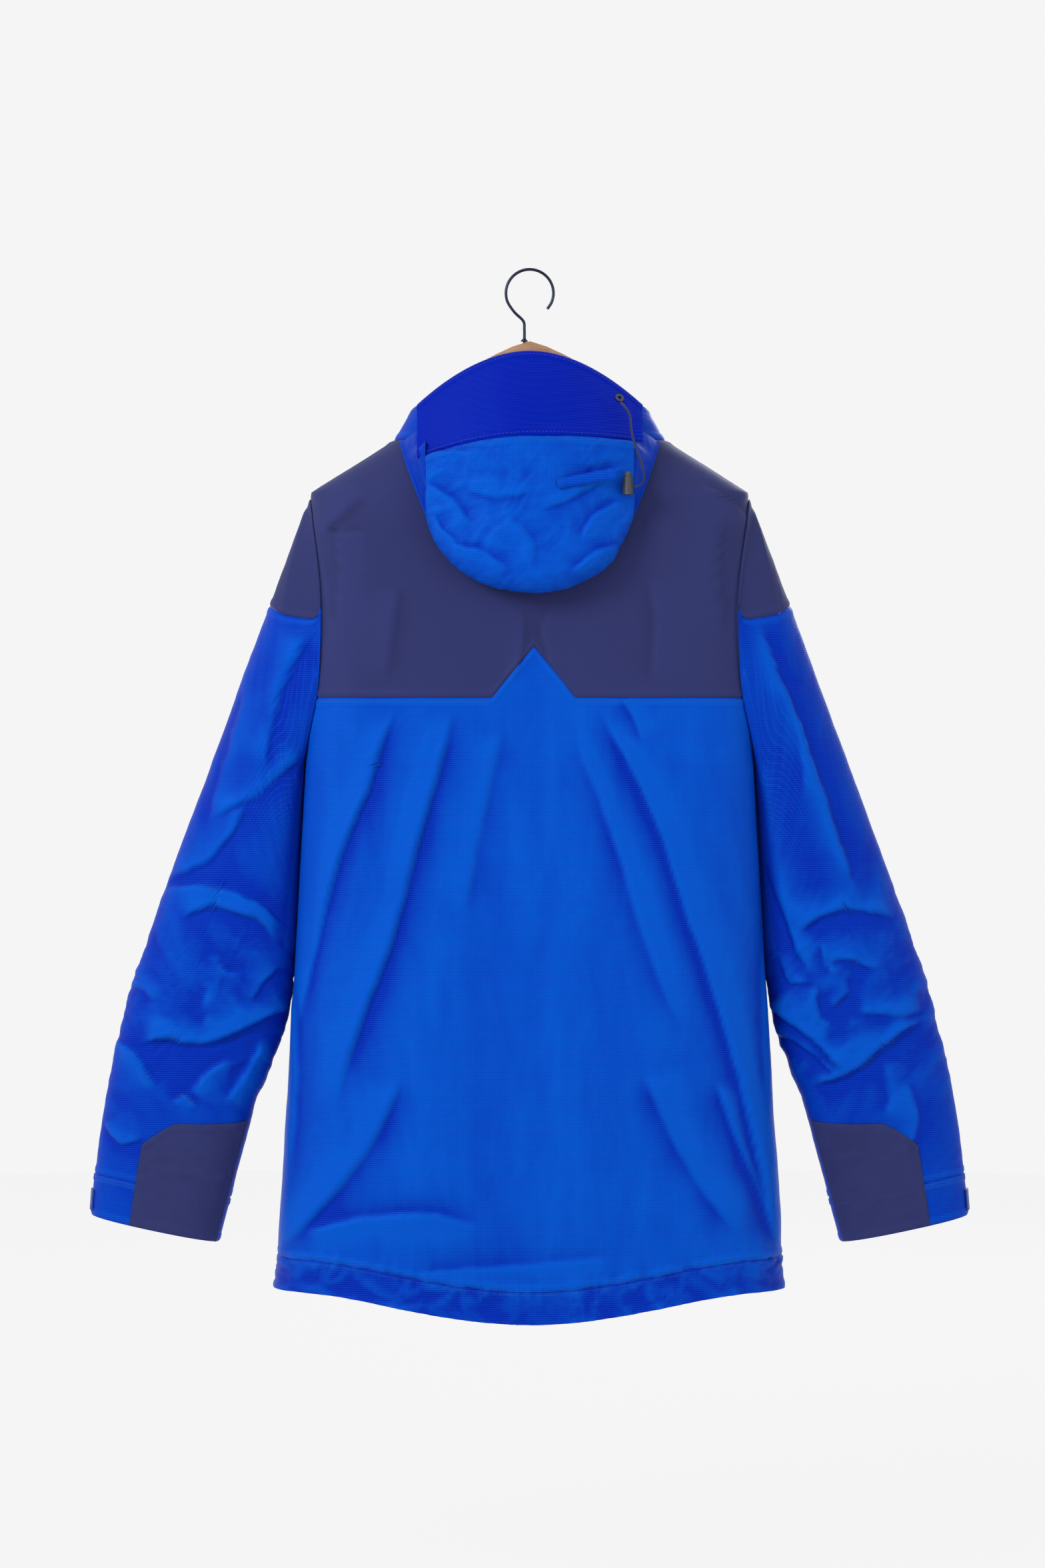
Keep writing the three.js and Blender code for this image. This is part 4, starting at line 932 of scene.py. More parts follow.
def make_stage():
    scene = bpy.context.scene
    stage = scene.jacket_stage
    scene.view_settings.view_transform = "Standard"
    camera = bpy.data.cameras.new("camera")
    camera.sensor_fit = "VERTICAL"
    camera.sensor_height = 36
    camera.lens = stage.lens
    camera.clip_end = 50
    view = bpy.data.objects.new("camera", camera)
    scene.collection.objects.link(view)
    x, y, z = STAGE_CENTRE
    view.location = (x, y - stage.distance, z)
    view.rotation_euler = (math.pi / 2, 0, 0)
    scene.camera = view
    world = bpy.data.worlds.new("Studio")
    world.use_nodes = True
    backdrop = world.node_tree.nodes["Background"].inputs
    backdrop["Color"].default_value = rgba([stage.background] * 3)
    backdrop["Strength"].default_value = 1.0
    scene.world = world
    soft_light("key", (-1.9, -2.1, 0.9), (1.1, 1.1), stage.key_power, (0, 0, -0.5))
    soft_light("fill", (2.2, -2.4, -0.2), (1.6, 1.6), stage.fill_power, (0, 0, -0.5))
    soft_light("front", (0.8, 2.6, 0.8), (1.6, 1.6), 0.7 * stage.key_power, (0, 0, -0.5))
    turns = np.linspace(0, 2 * math.pi, 64, endpoint=False)
    ring = [(4 * math.cos(a), 4 * math.sin(a), FLOOR_Z) for a in turns]
    mesh = bpy.data.meshes.new("floor")
    mesh.from_pydata(ring, [], [list(range(64))])
    floor = link(mesh, "floor")
    paper = Finish("Pale paper floor", {"Base Color": (0.04, 0.04, 0.04, 1), "Roughness": 0.95,
                                        "Specular IOR Level": 0.0, "Emission Strength": 0.858,
                                        "Emission Color": (1, 1, 1, 1)})
    paper.bump([(paper.noise(300.0, 3.0), 0.05)])
    floor.data.materials.append(paper.material)


HOOD_CORD_PATH = ((84, -74, -132), (88, -80, -137), (92, -84, -145), (93, -87, -156), (95, -91, -168),
                  (99, -94, -180), (103, -94, -192), (105, -92, -202), (102, -89, -209), (95.4, -88.9, -211))


def catmull(points, count):
    """Points along a smooth curve that passes through the given ones."""
    points = np.array(points, float)
    padded = np.concatenate([[2 * points[0] - points[1]], points, [2 * points[-1] - points[-2]]])
    at = np.linspace(0, len(points) - 1 - 1e-9, count)
    k = at.astype(int)
    t = (at - k)[:, None]
    a, b, c, d = (padded[k + step] for step in range(4))
    square, cube = 2 * a - 5 * b + 4 * c - d, 3 * b - a - 3 * c + d
    return 0.5 * (2 * b + (c - a) * t + square * t ** 2 + cube * t ** 3)


def make_cord():
    make_finishes()
    cord = tube("hood_cord_braid", catmull(HOOD_CORD_PATH, 36), 1.0, finishes["cord"])
    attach(cord, "hood")
    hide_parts("hood_cord")


# ---------------------------------------------------------------- body

surfaces = {}


def cloth_piece(name, points, centre, lift, finish, body, nodes, flat, area=None, blend=None, **shape):
    """A finished sheet of cloth: made, joined to its body, declared and remembered for its stitches."""
    cloth = bpy.context.scene.jacket_cloth
    shape.setdefault("thickness", cloth.thickness / MM)
    materials = [finishes[finish], finishes["lining"]]
    obj = cloth_sheet(name, points, centre, lift, materials, **shape)
    normal = grid_normals(points, shape.get("wrap", False), centre)
    surfaces[name] = points + normal * (lift + shape["thickness"] / 2)[..., None]
    if blend:
        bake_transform(obj)
    else:
        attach(obj, body)
    if nodes:
        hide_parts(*nodes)
    return obj


def edges_lip(points, top=True, bottom=True, sides=False, height=0.7):
    lip = 0
    if top:
        lip = lip + seam_lip(edge_distance(points, 1, False), height=height)
    if bottom:
        lip = lip + seam_lip(edge_distance(points, 1, True), height=height)
    if sides:
        lip = lip + seam_lip(edge_distance(points, 0, False), height=height)
        lip = lip + seam_lip(edge_distance(points, 0, True), height=height)
    return lip


def make_body():
    make_finishes()
    depth = bpy.context.scene.jacket_cloth.fold_depth
    gap = 0.2

    def panel(name, face, side, top, bottom, columns, rows, finish, flat, node):
        points = panel_points(face, side, top, bottom, columns, rows)
        centre = points * (0, 0, 1) + (side * 100 if face > 0 else 0, 0, 0)
        lift = depth * body_relief(points) + edges_lip(points, sides=face < 0)
        cloth_piece(name, points, centre, lift, finish, "jacket", [node], flat)
    panel("back_yoke_cloth", -1, 1, lambda x: NECK_Z + 0 * x, lambda x: yoke_seam(x) + gap,
          170, 84, "navy_shell", (0.45, 0.27), "back_yoke")
    panel("back_panel_cloth", -1, 1, lambda x: yoke_seam(x) - gap, lambda x: hem_line(x) + HEM_BAND + gap,
          196, 200, "blue_shell", (0.50, 0.58), "back_panel")
    for label, side in SIDES:
        panel(f"front_yoke_{label}_cloth", 1, side, lambda x: NECK_Z + 0 * x,
              lambda x: FRONT_YOKE_Z + gap + 0 * x, 72, 56, "navy_shell", (0.21, 0.19), f"front_yoke_{label}")
        panel(f"front_panel_{label}_cloth", 1, side, lambda x: FRONT_YOKE_Z - gap + 0 * x,
              lambda x: HEM_LOW + HEM_RISE + HEM_BAND + gap + 0 * x,
              92, 190, "blue_shell", (0.25, 0.62), f"front_panel_{label}")


def round_angle(u, z):
    half, _, n = section(z)
    y = front_depth(z) * (1 - (FRONT_HALF_GAP / half) ** n) ** (1 / n)
    bite = math.pi / 2 - np.arctan2(y / front_depth(z), FRONT_HALF_GAP / half)
    return mix(math.pi / 2 + bite, 2.5 * math.pi - bite, u)


def make_collar():
    make_finishes()
    u = np.linspace(0, 1, 180)[:, None]
    v = np.linspace(0, 1, 26)[None, :]
    angle = round_angle(u, NECK_Z)
    back, front = np.clip(-np.sin(angle), 0, 1), np.clip(np.sin(angle), 0, 1)
    top = NECK_Z + 28 + 14 * back + 32 * front ** 2
    z = mix(NECK_Z + 0.2, top, v)
    points = body_point(round_angle(u, z), z)
    x = points[..., 0]
    lift = 0.5 * crumple(x / 26, z / 22, 51, 2) + 0.6 * noise(x / 40, z / 60, 52)
    near_front = smooth((np.abs(x) - 20) / 20) + (points[..., 1] < 0)
    lift = lift * np.clip(near_front, 0, 1) * smooth(edge_distance(points, 1, False) / 8)
    lift = lift + edges_lip(points, height=0.5)
    # Painted shade: the collar is darkened over its whole width for the shade under the hood.
    cloth_piece("collar_cloth", points, points * (0, 0, 1), lift, "blue_shell", "jacket", ["collar"],
                (0.42, 0.06), thickness=1.8, tone=0.55)


def make_hem():
    make_finishes()
    depth = bpy.context.scene.jacket_cloth.fold_depth
    share = np.linspace(0, 1, 1200)
    ring = body_point(round_angle(share, HEM_LOW), np.full(1200, HEM_LOW))
    run = np.concatenate([[0], np.cumsum(np.linalg.norm(np.diff(ring, axis=0), axis=1))])
    u = np.interp(np.linspace(0, run[-1], 420), run, share)[:, None]
    v = np.linspace(0, 1, 14)[None, :]
    angle = round_angle(u, HEM_LOW)
    ref_x = body_point(angle, YOKE_SEAM_Z + 0 * angle)[..., 0]
    low = np.where(np.sin(angle) > 0, HEM_LOW + HEM_RISE, hem_line(ref_x))
    z = mix(low + HEM_BAND + 2.5, low, v)
    points = body_point(angle, z)
    roll = np.exp(-(edge_distance(points, 1, True) / 5) ** 2) * 0.9
    tucked = smooth((z - low - HEM_BAND + 1.5) / 2.0)
    lift = depth * body_relief(points) + roll - 1.8 * tucked
    # Painted shade: the hem band is darkened over its whole length.
    cloth_piece("hem_band_cloth", points, points * (0, 0, 1), lift, "blue_shell", "jacket", ["hem_band"],
                (1.18, 0.03), thickness=1.5, tone=0.65)


# ---------------------------------------------------------------- sleeves

CAP_END = math.pi * 10 / 22
CUFF_TOP = 2 - CUFF_BAND / FOREARM
SLEEVE_FOLDS = {"left": LEFT_SLEEVE_FOLDS, "right": RIGHT_SLEEVE_FOLDS}


def cap_seam(around):
    return CAP_SHARE * np.clip(1 - (around / CAP_END) ** 2, 0.003, 1) ** 0.6


def sleeve_grid(side, around, t):
    points = sleeve_point(side, around, t)
    centre_x, centre_z = (sum(pair) / 2 for pair in zip(outer_edge(t), inner_edge(t)))
    centre = np.stack([side * centre_x, ARMHOLE_Y + 7 * t, centre_z], axis=-1)
    return points, centre


def sleeve_lift(label, points, around, t):
    depth = bpy.context.scene.jacket_cloth.fold_depth
    seed = 61 if label == "left" else 83
    lift = depth * sleeve_relief(points, around, t, SLEEVE_FOLDS[label], seed)
    inside = smooth((-np.cos(around) - 0.55) / 0.25) * smooth((1.15 - t) / 0.2)
    lift = mix(lift, np.minimum(lift, 0.2), inside)
    touching = smooth((-np.cos(around) - 0.8) / 0.1) * smooth((1.02 - t) / 0.06) * smooth(t / 0.08)
    return mix(lift, 0.85, touching)


def make_sleeves():
    make_finishes()
    for label, side in SIDES:
        hand = f"sleeve_{label}"
        lower = f"lower_{hand}"

        around = np.linspace(-CAP_END, CAP_END, 64)[:, None]
        t = np.linspace(0, 1, 40)[None, :] * (cap_seam(around) - 0.2 / UPPER_ARM)
        points, centre = sleeve_grid(side, around, t)
        lift = sleeve_lift(label, points, around, t) + edges_lip(points, height=0.6)
        cloth_piece(f"{hand}_cap_cloth", points, centre, lift, "navy_shell", hand, [f"sleeve_cap_{label}"],
                    (0.18, 0.11), area=0.0105)

        around = np.linspace(-math.pi, math.pi, 132, endpoint=False)[:, None]
        top = np.where(np.abs(around) < CAP_END, cap_seam(around) + 0.2 / UPPER_ARM, 0)
        v = np.linspace(0, 1, 240)[None, :]
        t = mix(top, CUFF_TOP - 0.2 / FOREARM, v)
        points, centre = sleeve_grid(side, around, t)
        lift = sleeve_lift(label, points, around, t) + edges_lip(points, height=0.6)
        axis = Vector((side * math.sin(UPPER_ANGLE), 0, -math.cos(UPPER_ANGLE)))
        elbow = Vector((side * 0.2888, 0.0, -0.6352))
        # Painted shade: the sleeve is darkened all over, as it turns away from the light.
        cloth_piece(f"{hand}_cloth", points, centre, lift, "blue_shell", (hand, lower),
                    [f"upper_sleeve_{label}", f"forearm_{label}"], (0.36, 0.66), area=0.18,
                    blend=(elbow - axis * 0.06, elbow + axis * 0.06), wrap=True, tone=0.5)

        t = np.linspace(CUFF_TOP, 2, 22)[None, :] + 0 * around
        points, centre = sleeve_grid(side, around, t)
        lift = sleeve_lift(label, points, around, t) + edges_lip(points, height=0.6)
        # Painted shade: the cuff is darkened all over, like the sleeve.
        cloth_piece(f"cuff_{label}_cloth", points, centre, lift, "blue_shell", lower, [f"cuff_{label}"],
                    (0.29, 0.045), wrap=True, thickness=1.5, tone=0.5)

        u = np.linspace(0, 1, 48)[:, None]
        v = np.linspace(0, 1, 84)[None, :]
        around = math.radians(-162) + math.radians(90) * u
        t = mix(mix(1.578, 1.635, u) + 0.08 * np.clip((u - 0.78) / 0.22, 0, 1), 1.998, v)
        points, centre = sleeve_grid(side, around, t)
        lift = sleeve_lift(label, points, around, t) + 1.3 + 0.5 * edges_lip(points, sides=True)
        lift = lift + 0.8 * crumple(u * 2.2, v * 4.5, 95 + side, 2)
        cloth_piece(f"forearm_patch_{label}_cloth", points, centre, lift, "navy_shell", lower,
                    [f"forearm_patch_{label}"], (0.085, 0.115))

        around = np.linspace(-math.pi, math.pi, 96, endpoint=False)[:, None]
        share = np.linspace(0, 1, 33)[None, :]
        within = np.clip(2 * share - 1, 0, 1)
        points = sleeve_point(side, around, 0.12 * within, -1.4 - 4.6 * smooth((within - 0.25) / 0.4))
        points[..., 0] -= side * 15 * np.clip(1 - 2 * share, 0, 1)
        centre = points * (1, 0, 0) + (0, ARMHOLE_Y, (ARMHOLE_TOP + UNDERARM) / 2)
        cloth_piece(f"underarm_{label}_cloth", points, centre, 0 * points[..., 0], "navy_shell",
                    ("jacket", hand), [], (0.56, 0.034),
                    blend=((side * 0.195, 0, -0.34), (side * 0.2015, 0, -0.34)), wrap=True)


# ---------------------------------------------------------------- hood

def hood_outline(x):
    share = np.clip(np.abs(x) / HOOD_HALF, 0, 1)
    return HOOD_SHOULDER + (HOOD_BOTTOM - HOOD_SHOULDER) * (1 - share ** 2.3) ** (1 / 2.3)


def hood_inner(x, z):
    return -(back_depth_at(x, z) + 3)


def hood_outer(x):
    return hood_inner(x, HOOD_MOUTH) - HOOD_DEPTH * (1 - 0.28 * (x / HOOD_HALF) ** 2)


def mouth_line(x):
    """Height of the seam between the brim and the bag, lower on the left."""
    share = (x - 10) / HOOD_HALF
    return HOOD_MOUTH + 3 - np.where(share < 0, 15, 5) * share ** 2


def hood_bag(x, v):
    """The hood's bag: down its outer wall, round its bottom, and up beside the neck."""
    depth = HOOD_DEPTH * (1 - 0.28 * (x / HOOD_HALF) ** 2)
    turn = hood_outline(x) + depth / 2
    outer, low = hood_outer(x), hood_inner(x, turn)
    angle = math.pi * np.clip((v - 0.35) / 0.3, 0, 1)
    middle, half = (outer - 2 + low) / 2, (low - outer + 2) / 2
    y, z = middle - half * np.cos(angle), turn - depth / 2 * np.sin(angle)
    down, up = v / 0.35, (v - 0.65) / 0.35
    rise = mix(turn, -124.0, up)
    y = np.where(v < 0.35, mix(outer, outer - 2, down), np.where(v > 0.65, hood_inner(x, rise), y))
    z = np.where(v < 0.35, mix(mouth_line(x) - 0.3, turn, down), np.where(v > 0.65, rise, z))
    return np.stack([x + 0 * v, y, z], axis=-1)


def brim_at(x, v):
    share = x / BRIM_HALF
    low = mouth_line(x) + 0.3
    high = BRIM_TOP - 48 * np.abs(share) ** 1.9
    low_y = hood_outer(np.clip(x, -96, 96)) + 8 * share ** 2
    high_y = -60 + 14 * share ** 2
    return np.stack([x + 0 * v, mix(low_y, high_y, v ** 1.2), mix(low, high, v)], axis=-1)


def hood_relief(points, outside):
    x, z = points[..., 0], points[..., 2]
    lift = fold_field(x, z, HOOD_FOLDS, 2.5)
    lift = lift + 1.5 * crumple((x + z) / 38, (z - x) / 26, 71, 4) + 2.0 * noise(x / 45, z / 40, 72)
    lift = lift + 0.4 * crumple(x / 12, z / 10, 73, 3)
    lift = lift * clear_of_line(x, z, (88, -205), (92, -214), 8, 20)
    return np.minimum(lift * outside, 4.0)


def make_hood():
    make_finishes()
    depth = bpy.context.scene.jacket_cloth.fold_depth
    lean = np.linspace(-1, 1, 116)[:, None]
    x = 96 * np.sin(lean * math.radians(80)) / math.sin(math.radians(80))
    v = np.concatenate([np.linspace(0, 0.35, 70), np.linspace(0.36, 0.64, 46), np.linspace(0.65, 1, 60)])
    v = v[None, :]
    points = hood_bag(x, v)
    middle = (hood_outer(x) + hood_inner(x, HOOD_MOUTH)) / 2
    height = np.maximum(points[..., 2], hood_outline(x) + 24)
    centre = np.stack([0.4 * points[..., 0], middle + 0 * v, height], axis=-1)
    outside = smooth((0.62 - v) / 0.1) * smooth(edge_distance(points, 0, False) / 9)
    outside = outside * smooth(edge_distance(points, 0, True) / 9)
    lift = depth * hood_relief(points, outside) + edges_lip(points, bottom=False, height=0.6) * (v < 0.4)
    cloth_piece("hood_crown_cloth", points, centre, lift, "blue_shell", "hood", ["hood_crown"], (0.21, 0.33),
                area=0.058, reach=6)

    x = np.linspace(-BRIM_HALF, BRIM_HALF, 110)[:, None]
    v = np.linspace(0, 1, 130)[None, :]
    points = brim_at(x, v)
    rise = edge_distance(points, 1, False) + 2.5 * noise(x / 60, v * 2, 74)
    rib = 0.15 * np.cos(2 * math.pi * rise / 3.1) * (1 + 0.9 * noise(x / 16, v * 12, 75))
    inner = smooth(edge_distance(points, 1, True) / 7) * smooth(edge_distance(points, 1, False) / 6)
    lift = rib * inner + 1.3 * noise(x / 46, v * 1.6, 77) * inner + edges_lip(points, height=0.7)
    cloth_piece("hood_brim_cloth", points, points * (1, 0, 1), lift, "brim_shell", "hood", ["hood_brim"],
                (0.225, 0.09), area=0.0165, thickness=2.4)

    for label, side in SIDES:
        u = np.linspace(0, 1, 46)[:, None]
        v = np.linspace(0, 1, 90)[None, :]
        low = hood_outline(np.float64(96)) - 6
        top_z = HOOD_MOUTH + 14
        inner_x = 96.4 - 12 * smooth((v - 0.75) / 0.25)
        inner_z = mix(top_z, low, v)
        inner_y = hood_outer(inner_x) + 3 + 12 * smooth((0.2 - v) / 0.08) + 22 * smooth((v - 0.7) / 0.3)
        base_x = mix(121.0, 80.0, v ** 1.15)
        base_z = mix(-164.0, -272.0, v)
        base_y = -(back_depth_at(base_x, base_z) + 2.2)
        x, z = mix(inner_x, base_x, u), mix(inner_z, base_z, u)
        y = mix(inner_y, base_y, smooth(u) * 0.6 + 0.4 * u ** 2)
        y = np.minimum(y, -(back_depth_at(x, z) + 2.0))
        points = np.stack([side * x, y, z], axis=-1)
        lift = 1.6 * crumple(x / 16 + side, z / 34, 79, 2) * np.sin(math.pi * np.clip(u, 0, 1)) ** 0.7
        lift = lift + 1.2 * np.exp(-((1 - u) / 0.05) ** 2) + 0 * v
        centre = np.stack([side * (x - 40), 0 * y, z], axis=-1)
        # Painted shade: the hood's sides are darkened all over for the shade beside the hood.
        cloth_piece(f"hood_side_{label}_cloth", points, centre, lift, "blue_shell", "hood",
                    [f"hood_side_{label}"], (0.034, 0.082), reach=5, tone=0.6)

    u = np.linspace(0, 1, 60)[:, None]
    v = np.linspace(0, 1, 12)[None, :]
    slant = math.radians(10)
    along, across = 54 * (u - 0.5), 9 * (0.5 - v)
    points = np.stack([52 + along * math.cos(slant) - across * math.sin(slant), -101.2 + 0 * u * v,
                       -204 + along * math.sin(slant) + across * math.cos(slant)], axis=-1)
    lift = 0.5 * crumple(u * 4, v * 2, 81, 2) + 0.5 * edges_lip(points, sides=True)
    # Painted shade: the adjuster is darkened all over.
    cloth_piece("hood_adjuster_cloth", points, points * (1, 0, 1), lift, "blue_shell", "hood",
                ["hood_adjuster"], (0.054, 0.0105), thickness=1.4, reach=3, tone=0.3)


# ---------------------------------------------------------------- stitches and teeth

def repeat_tree(name, material, shape):
    """Geometry nodes that set a small shape at an even pitch along a line of edges."""
    tree = bpy.data.node_groups.new(name, "GeometryNodeTree")
    face = tree.interface
    face.new_socket("Line", in_out="INPUT", socket_type="NodeSocketGeometry")
    sockets = {}
    for label in ("Pitch", "Length", "Width", "Height"):
        sockets[label] = face.new_socket(label, in_out="INPUT", socket_type="NodeSocketFloat")
    face.new_socket("Repeats", in_out="OUTPUT", socket_type="NodeSocketGeometry")
    nodes, links = tree.nodes, tree.links
    entry, leave = nodes.new("NodeGroupInput"), nodes.new("NodeGroupOutput")
    to_curve = nodes.new("GeometryNodeMeshToCurve")
    evenly = nodes.new("GeometryNodeCurveToPoints")
    evenly.mode = "LENGTH"
    links.new(entry.outputs["Line"], to_curve.inputs["Mesh"])
    links.new(to_curve.outputs["Curve"], evenly.inputs["Curve"])
    links.new(entry.outputs["Pitch"], evenly.inputs["Length"])
    size = nodes.new("ShaderNodeCombineXYZ")
    links.new(entry.outputs["Width"], size.inputs["X"])
    links.new(entry.outputs["Height"], size.inputs["Y"])
    links.new(entry.outputs["Length"], size.inputs["Z"])
    solid = nodes.new(shape)
    if shape == "GeometryNodeMeshUVSphere":
        solid.inputs["Segments"].default_value = 6
        solid.inputs["Rings"].default_value = 4
        solid.inputs["Radius"].default_value = 0.5
    else:
        solid.inputs["Size"].default_value = (1, 1, 1)
    place = nodes.new("GeometryNodeInstanceOnPoints")
    links.new(evenly.outputs["Points"], place.inputs["Points"])
    links.new(solid.outputs["Mesh"], place.inputs["Instance"])
    links.new(evenly.outputs["Rotation"], place.inputs["Rotation"])
    links.new(size.outputs["Vector"], place.inputs["Scale"])
    real = nodes.new("GeometryNodeRealizeInstances")
    paint = nodes.new("GeometryNodeSetMaterial")
    paint.inputs["Material"].default_value = material
    links.new(place.outputs["Instances"], real.inputs["Geometry"])
    links.new(real.outputs["Geometry"], paint.inputs["Geometry"])
    links.new(paint.outputs["Geometry"], leave.inputs["Repeats"])
    return tree, {label: socket.identifier for label, socket in sockets.items()}


def repeats(name, lines, tree, sizes, body, nodes=(), blend=None):
    """One plain mesh of repeated shapes along lines of points in millimetres."""
    verts, edges = [], []
    for line in lines:
        first = len(verts)
        verts.extend(np.asarray(line, float) * MM)
        edges.extend((first + k, first + k + 1) for k in range(len(line) - 1))
    mesh = bpy.data.meshes.new(name)
    mesh.from_pydata([tuple(v) for v in verts], edges, [])
    obj = link(mesh, name)
    modifier = obj.modifiers.new("repeat", "NODES")
    modifier.node_group, identifiers = tree
    for label, value in sizes.items():
        modifier[identifiers[label]] = value
    obj = as_mesh(obj)
    if blend:
        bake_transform(obj)
    else:
        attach(obj, body)
    if nodes:
        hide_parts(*nodes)
    return obj


def seam_row(name, distance, last=False, columns=slice(None), closed=False):
    """A line of points on a finished sheet, at a distance in millimetres from its first or last row."""
    surface = surfaces[name]
    gap = edge_distance(surface, 1, last)
    line = []
    for k in range(surface.shape[0]):
        run, column = gap[k], surface[k]
        if last:
            run, column = run[::-1], column[::-1]
        line.append([np.interp(distance, run, column[:, axis]) for axis in range(3)])
    line = np.array(line)[columns]
    if closed:
        line = np.concatenate([line, line[:1]])
    return line


def make_stitches():
    make_finishes()
    trim = bpy.context.scene.jacket_trim
    sizes = {"Pitch": trim.stitch_pitch, "Length": trim.stitch_length,
             "Width": trim.stitch_thickness * 1.4, "Height": trim.stitch_thickness * 1.4}
    blue = repeat_tree("Blue stitches", finishes["thread_blue"], "GeometryNodeMeshUVSphere")
    navy = repeat_tree("Navy stitches", finishes["thread_navy"], "GeometryNodeMeshUVSphere")
    lines = [seam_row("back_panel_cloth", 2.5), seam_row("back_panel_cloth", 2.5, True),
             seam_row("hem_band_cloth", 2.5), seam_row("hem_band_cloth", 5.5)]
    for label, _ in SIDES:
        lines += [seam_row(f"front_panel_{label}_cloth", 2.5)]
    repeats("body_stitches", lines, blue, sizes, "jacket")
    lines = [seam_row("back_yoke_cloth", 2.5, True), seam_row("collar_cloth", 3.0, True)]
    lines += [seam_row(f"front_yoke_{label}_cloth", 2.5, True) for label, _ in SIDES]
    repeats("yoke_stitches", lines, navy, sizes, "jacket")
    repeats("brim_stitches", [seam_row("hood_brim_cloth", 3.0), seam_row("hood_brim_cloth", 4.0, True)],
            blue, sizes, "hood")
    repeats("hood_stitches", [seam_row("hood_crown_cloth", 3.0)], blue, sizes, "hood")
    for label, _ in SIDES:
        repeats(f"cap_stitches_{label}", [seam_row(f"sleeve_{label}_cap_cloth", 2.2, True, slice(6, -6))],
                navy, sizes, f"sleeve_{label}")
        cuff = [seam_row(f"cuff_{label}_cloth", d, closed=True) for d in (2.0, 5.0)]
        repeats(f"cuff_stitches_{label}", cuff, blue, sizes, f"lower_sleeve_{label}")
        patch = f"forearm_patch_{label}_cloth"
        edges = [seam_row(patch, 2.0), seam_row(patch, 2.0, True), surfaces[patch][1], surfaces[patch][-2]]
        repeats(f"patch_stitches_{label}", edges, navy, sizes, f"lower_sleeve_{label}")


TOOTH_WIDTH = 0.0044
FRONT_CHAIN_Z = (-105, -952)


def make_zips():
    make_finishes()
    trim = bpy.context.scene.jacket_trim
    tree = repeat_tree("Zip teeth", finishes["zip_teeth"], "GeometryNodeMeshCube")
    tooth = {"Pitch": trim.tooth_pitch, "Length": 0.62 * trim.tooth_pitch, "Width": TOOTH_WIDTH}
    z = np.linspace(*FRONT_CHAIN_Z, 60)
    line = np.stack([0 * z, front_depth(z) - 0.1, z], axis=-1)
    repeats("front_teeth", [line], tree, tooth | {"Height": 0.0017}, "jacket", ["zip_chain"])
    for label, side in SIDES:
        low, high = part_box(f"pocket_chain_{label}")
        z = np.linspace(high[2], low[2], 40) / MM
        share = (z - z[0]) / (z[-1] - z[0])
        x = side * mix(POCKET_TOP[0], POCKET_LOW[0], share)
        line = np.stack([x, front_y_at(x, z) + 2.0, z], axis=-1)
        repeats(f"pocket_teeth_{label}", [line], tree, tooth | {"Height": 0.0016}, "jacket",
                [f"pocket_chain_{label}"])
    dress("zip_tape_left", "zip_tape_right", "wind_flap", "chin_guard", "zip_slider", "zip_pull")
    for label, _ in SIDES:
        dress(f"pocket_slider_{label}", f"pocket_pull_{label}", f"pocket_bag_{label}", f"cuff_tab_{label}",
              f"hem_lock_{label}_barrel", f"hem_lock_{label}_button")
    dress("hem_cord", "hanging_loop", "hood_lock_barrel", "hood_lock_button", "hood_eyelet")


HOOK_RADIUS, WIRE_DIAMETER, STEM_X = 22.4, 2.8, -5.0


def make_hanger():
    make_finishes()
    bow = [(HOOK_RADIUS * math.cos(math.radians(a)), 0, -21 + HOOK_RADIUS * math.sin(math.radians(a)))
           for a in range(-42, 206, 19)]
    stem = [(STEM_X + x, 0, z) for x, z in ((-9, -39.4), (-1, -47.4), (0, -55.4), (0, -66), (0, -81))]
    route = catmull(bow + stem, 150)
    wire = as_mesh(tube("hanger_wire", route, WIRE_DIAMETER / 2, finishes["hook_wire"], 20))
    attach(wire, "hook")
    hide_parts("hanger_hook")
    dress("hanger_ferrule", "hanger_bar")


# ---------------------------------------------------------------- operators, panel and run

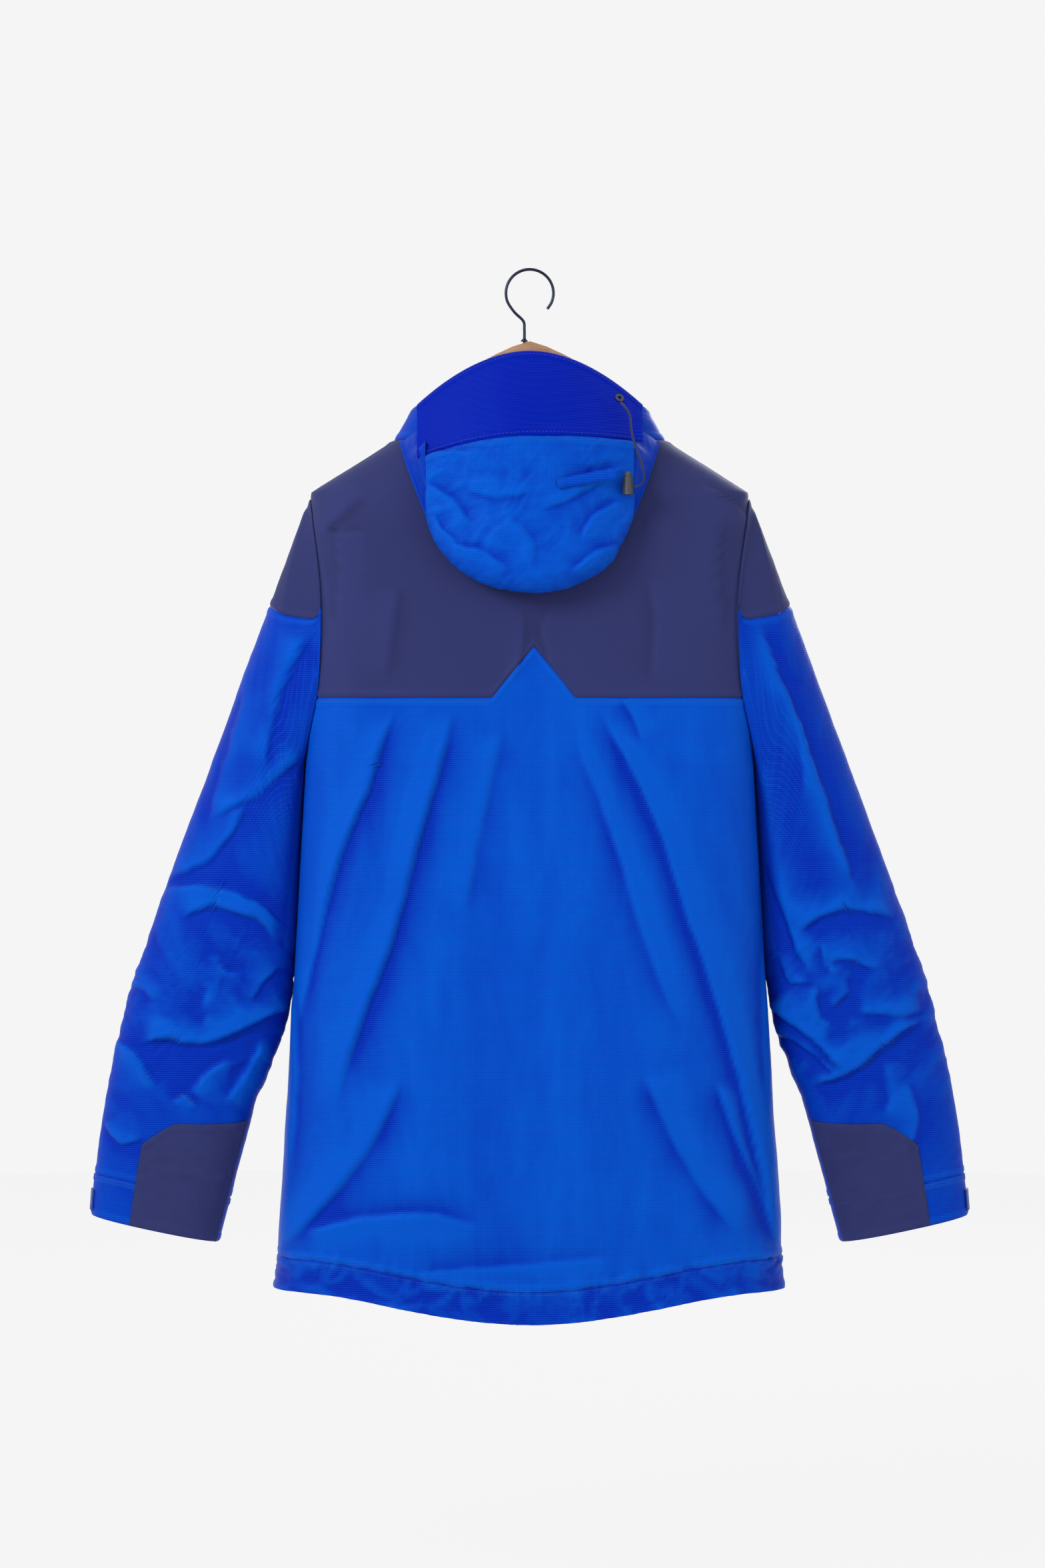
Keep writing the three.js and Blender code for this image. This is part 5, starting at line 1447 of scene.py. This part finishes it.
def operator(idname, label, doc, work):
    """An operator class that runs one maker."""
    def execute(self, context):
        work()
        return {"FINISHED"}
    name = "JACKET_OT_" + idname
    return type(name, (bpy.types.Operator,), {
        "__doc__": doc, "bl_idname": "jacket." + idname, "bl_label": label,
        "bl_options": {"REGISTER", "UNDO"}, "execute": execute})


OPERATORS = (
    operator("stage", "Stage", "Makes the camera, the lights and the floor", make_stage),
    operator("cord", "Hood cord", "Makes the hood's cord", make_cord),
    operator("body", "Body panels", "Makes the yokes and the body panels", make_body),
    operator("collar", "Collar", "Makes the collar", make_collar),
    operator("hem", "Hem", "Makes the hem band", make_hem),
    operator("sleeves", "Sleeves", "Makes the sleeves, cuffs and forearm patches", make_sleeves),
    operator("hood", "Hood", "Makes the hood, its brim and its adjuster", make_hood),
    operator("stitches", "Stitches", "Sews the seams", make_stitches),
    operator("zips", "Zips", "Makes the zips' teeth and finishes the trim", make_zips),
    operator("hanger", "Hanger", "Finishes the hanger", make_hanger),
)


class JACKET_PT_sidebar(bpy.types.Panel):
    """Makers and settings of the jacket."""
    bl_idname = "JACKET_PT_sidebar"
    bl_label = "Hardshell jacket"
    bl_space_type = "VIEW_3D"
    bl_region_type = "UI"
    bl_category = "Jacket"

    def draw(self, context):
        for made in OPERATORS:
            self.layout.operator(made.bl_idname)
        for group in (context.scene.jacket_cloth, context.scene.jacket_trim, context.scene.jacket_stage):
            box = self.layout.box()
            for key in group.__annotations__:
                box.prop(group, key)


CLASSES = (JacketCloth, JacketTrim, JacketStage, *OPERATORS, JACKET_PT_sidebar)


def register():
    for made in CLASSES:
        bpy.utils.register_class(made)
    bpy.types.Scene.jacket_cloth = bpy.props.PointerProperty(type=JacketCloth)
    bpy.types.Scene.jacket_trim = bpy.props.PointerProperty(type=JacketTrim)
    bpy.types.Scene.jacket_stage = bpy.props.PointerProperty(type=JacketStage)


def unregister():
    del bpy.types.Scene.jacket_cloth
    del bpy.types.Scene.jacket_trim
    del bpy.types.Scene.jacket_stage
    for made in reversed(CLASSES):
        bpy.utils.unregister_class(made)


def main():
    register()
    for made in OPERATORS:
        getattr(bpy.ops.jacket, made.bl_idname.split(".")[1])()


if __name__ == "__main__":
    main()
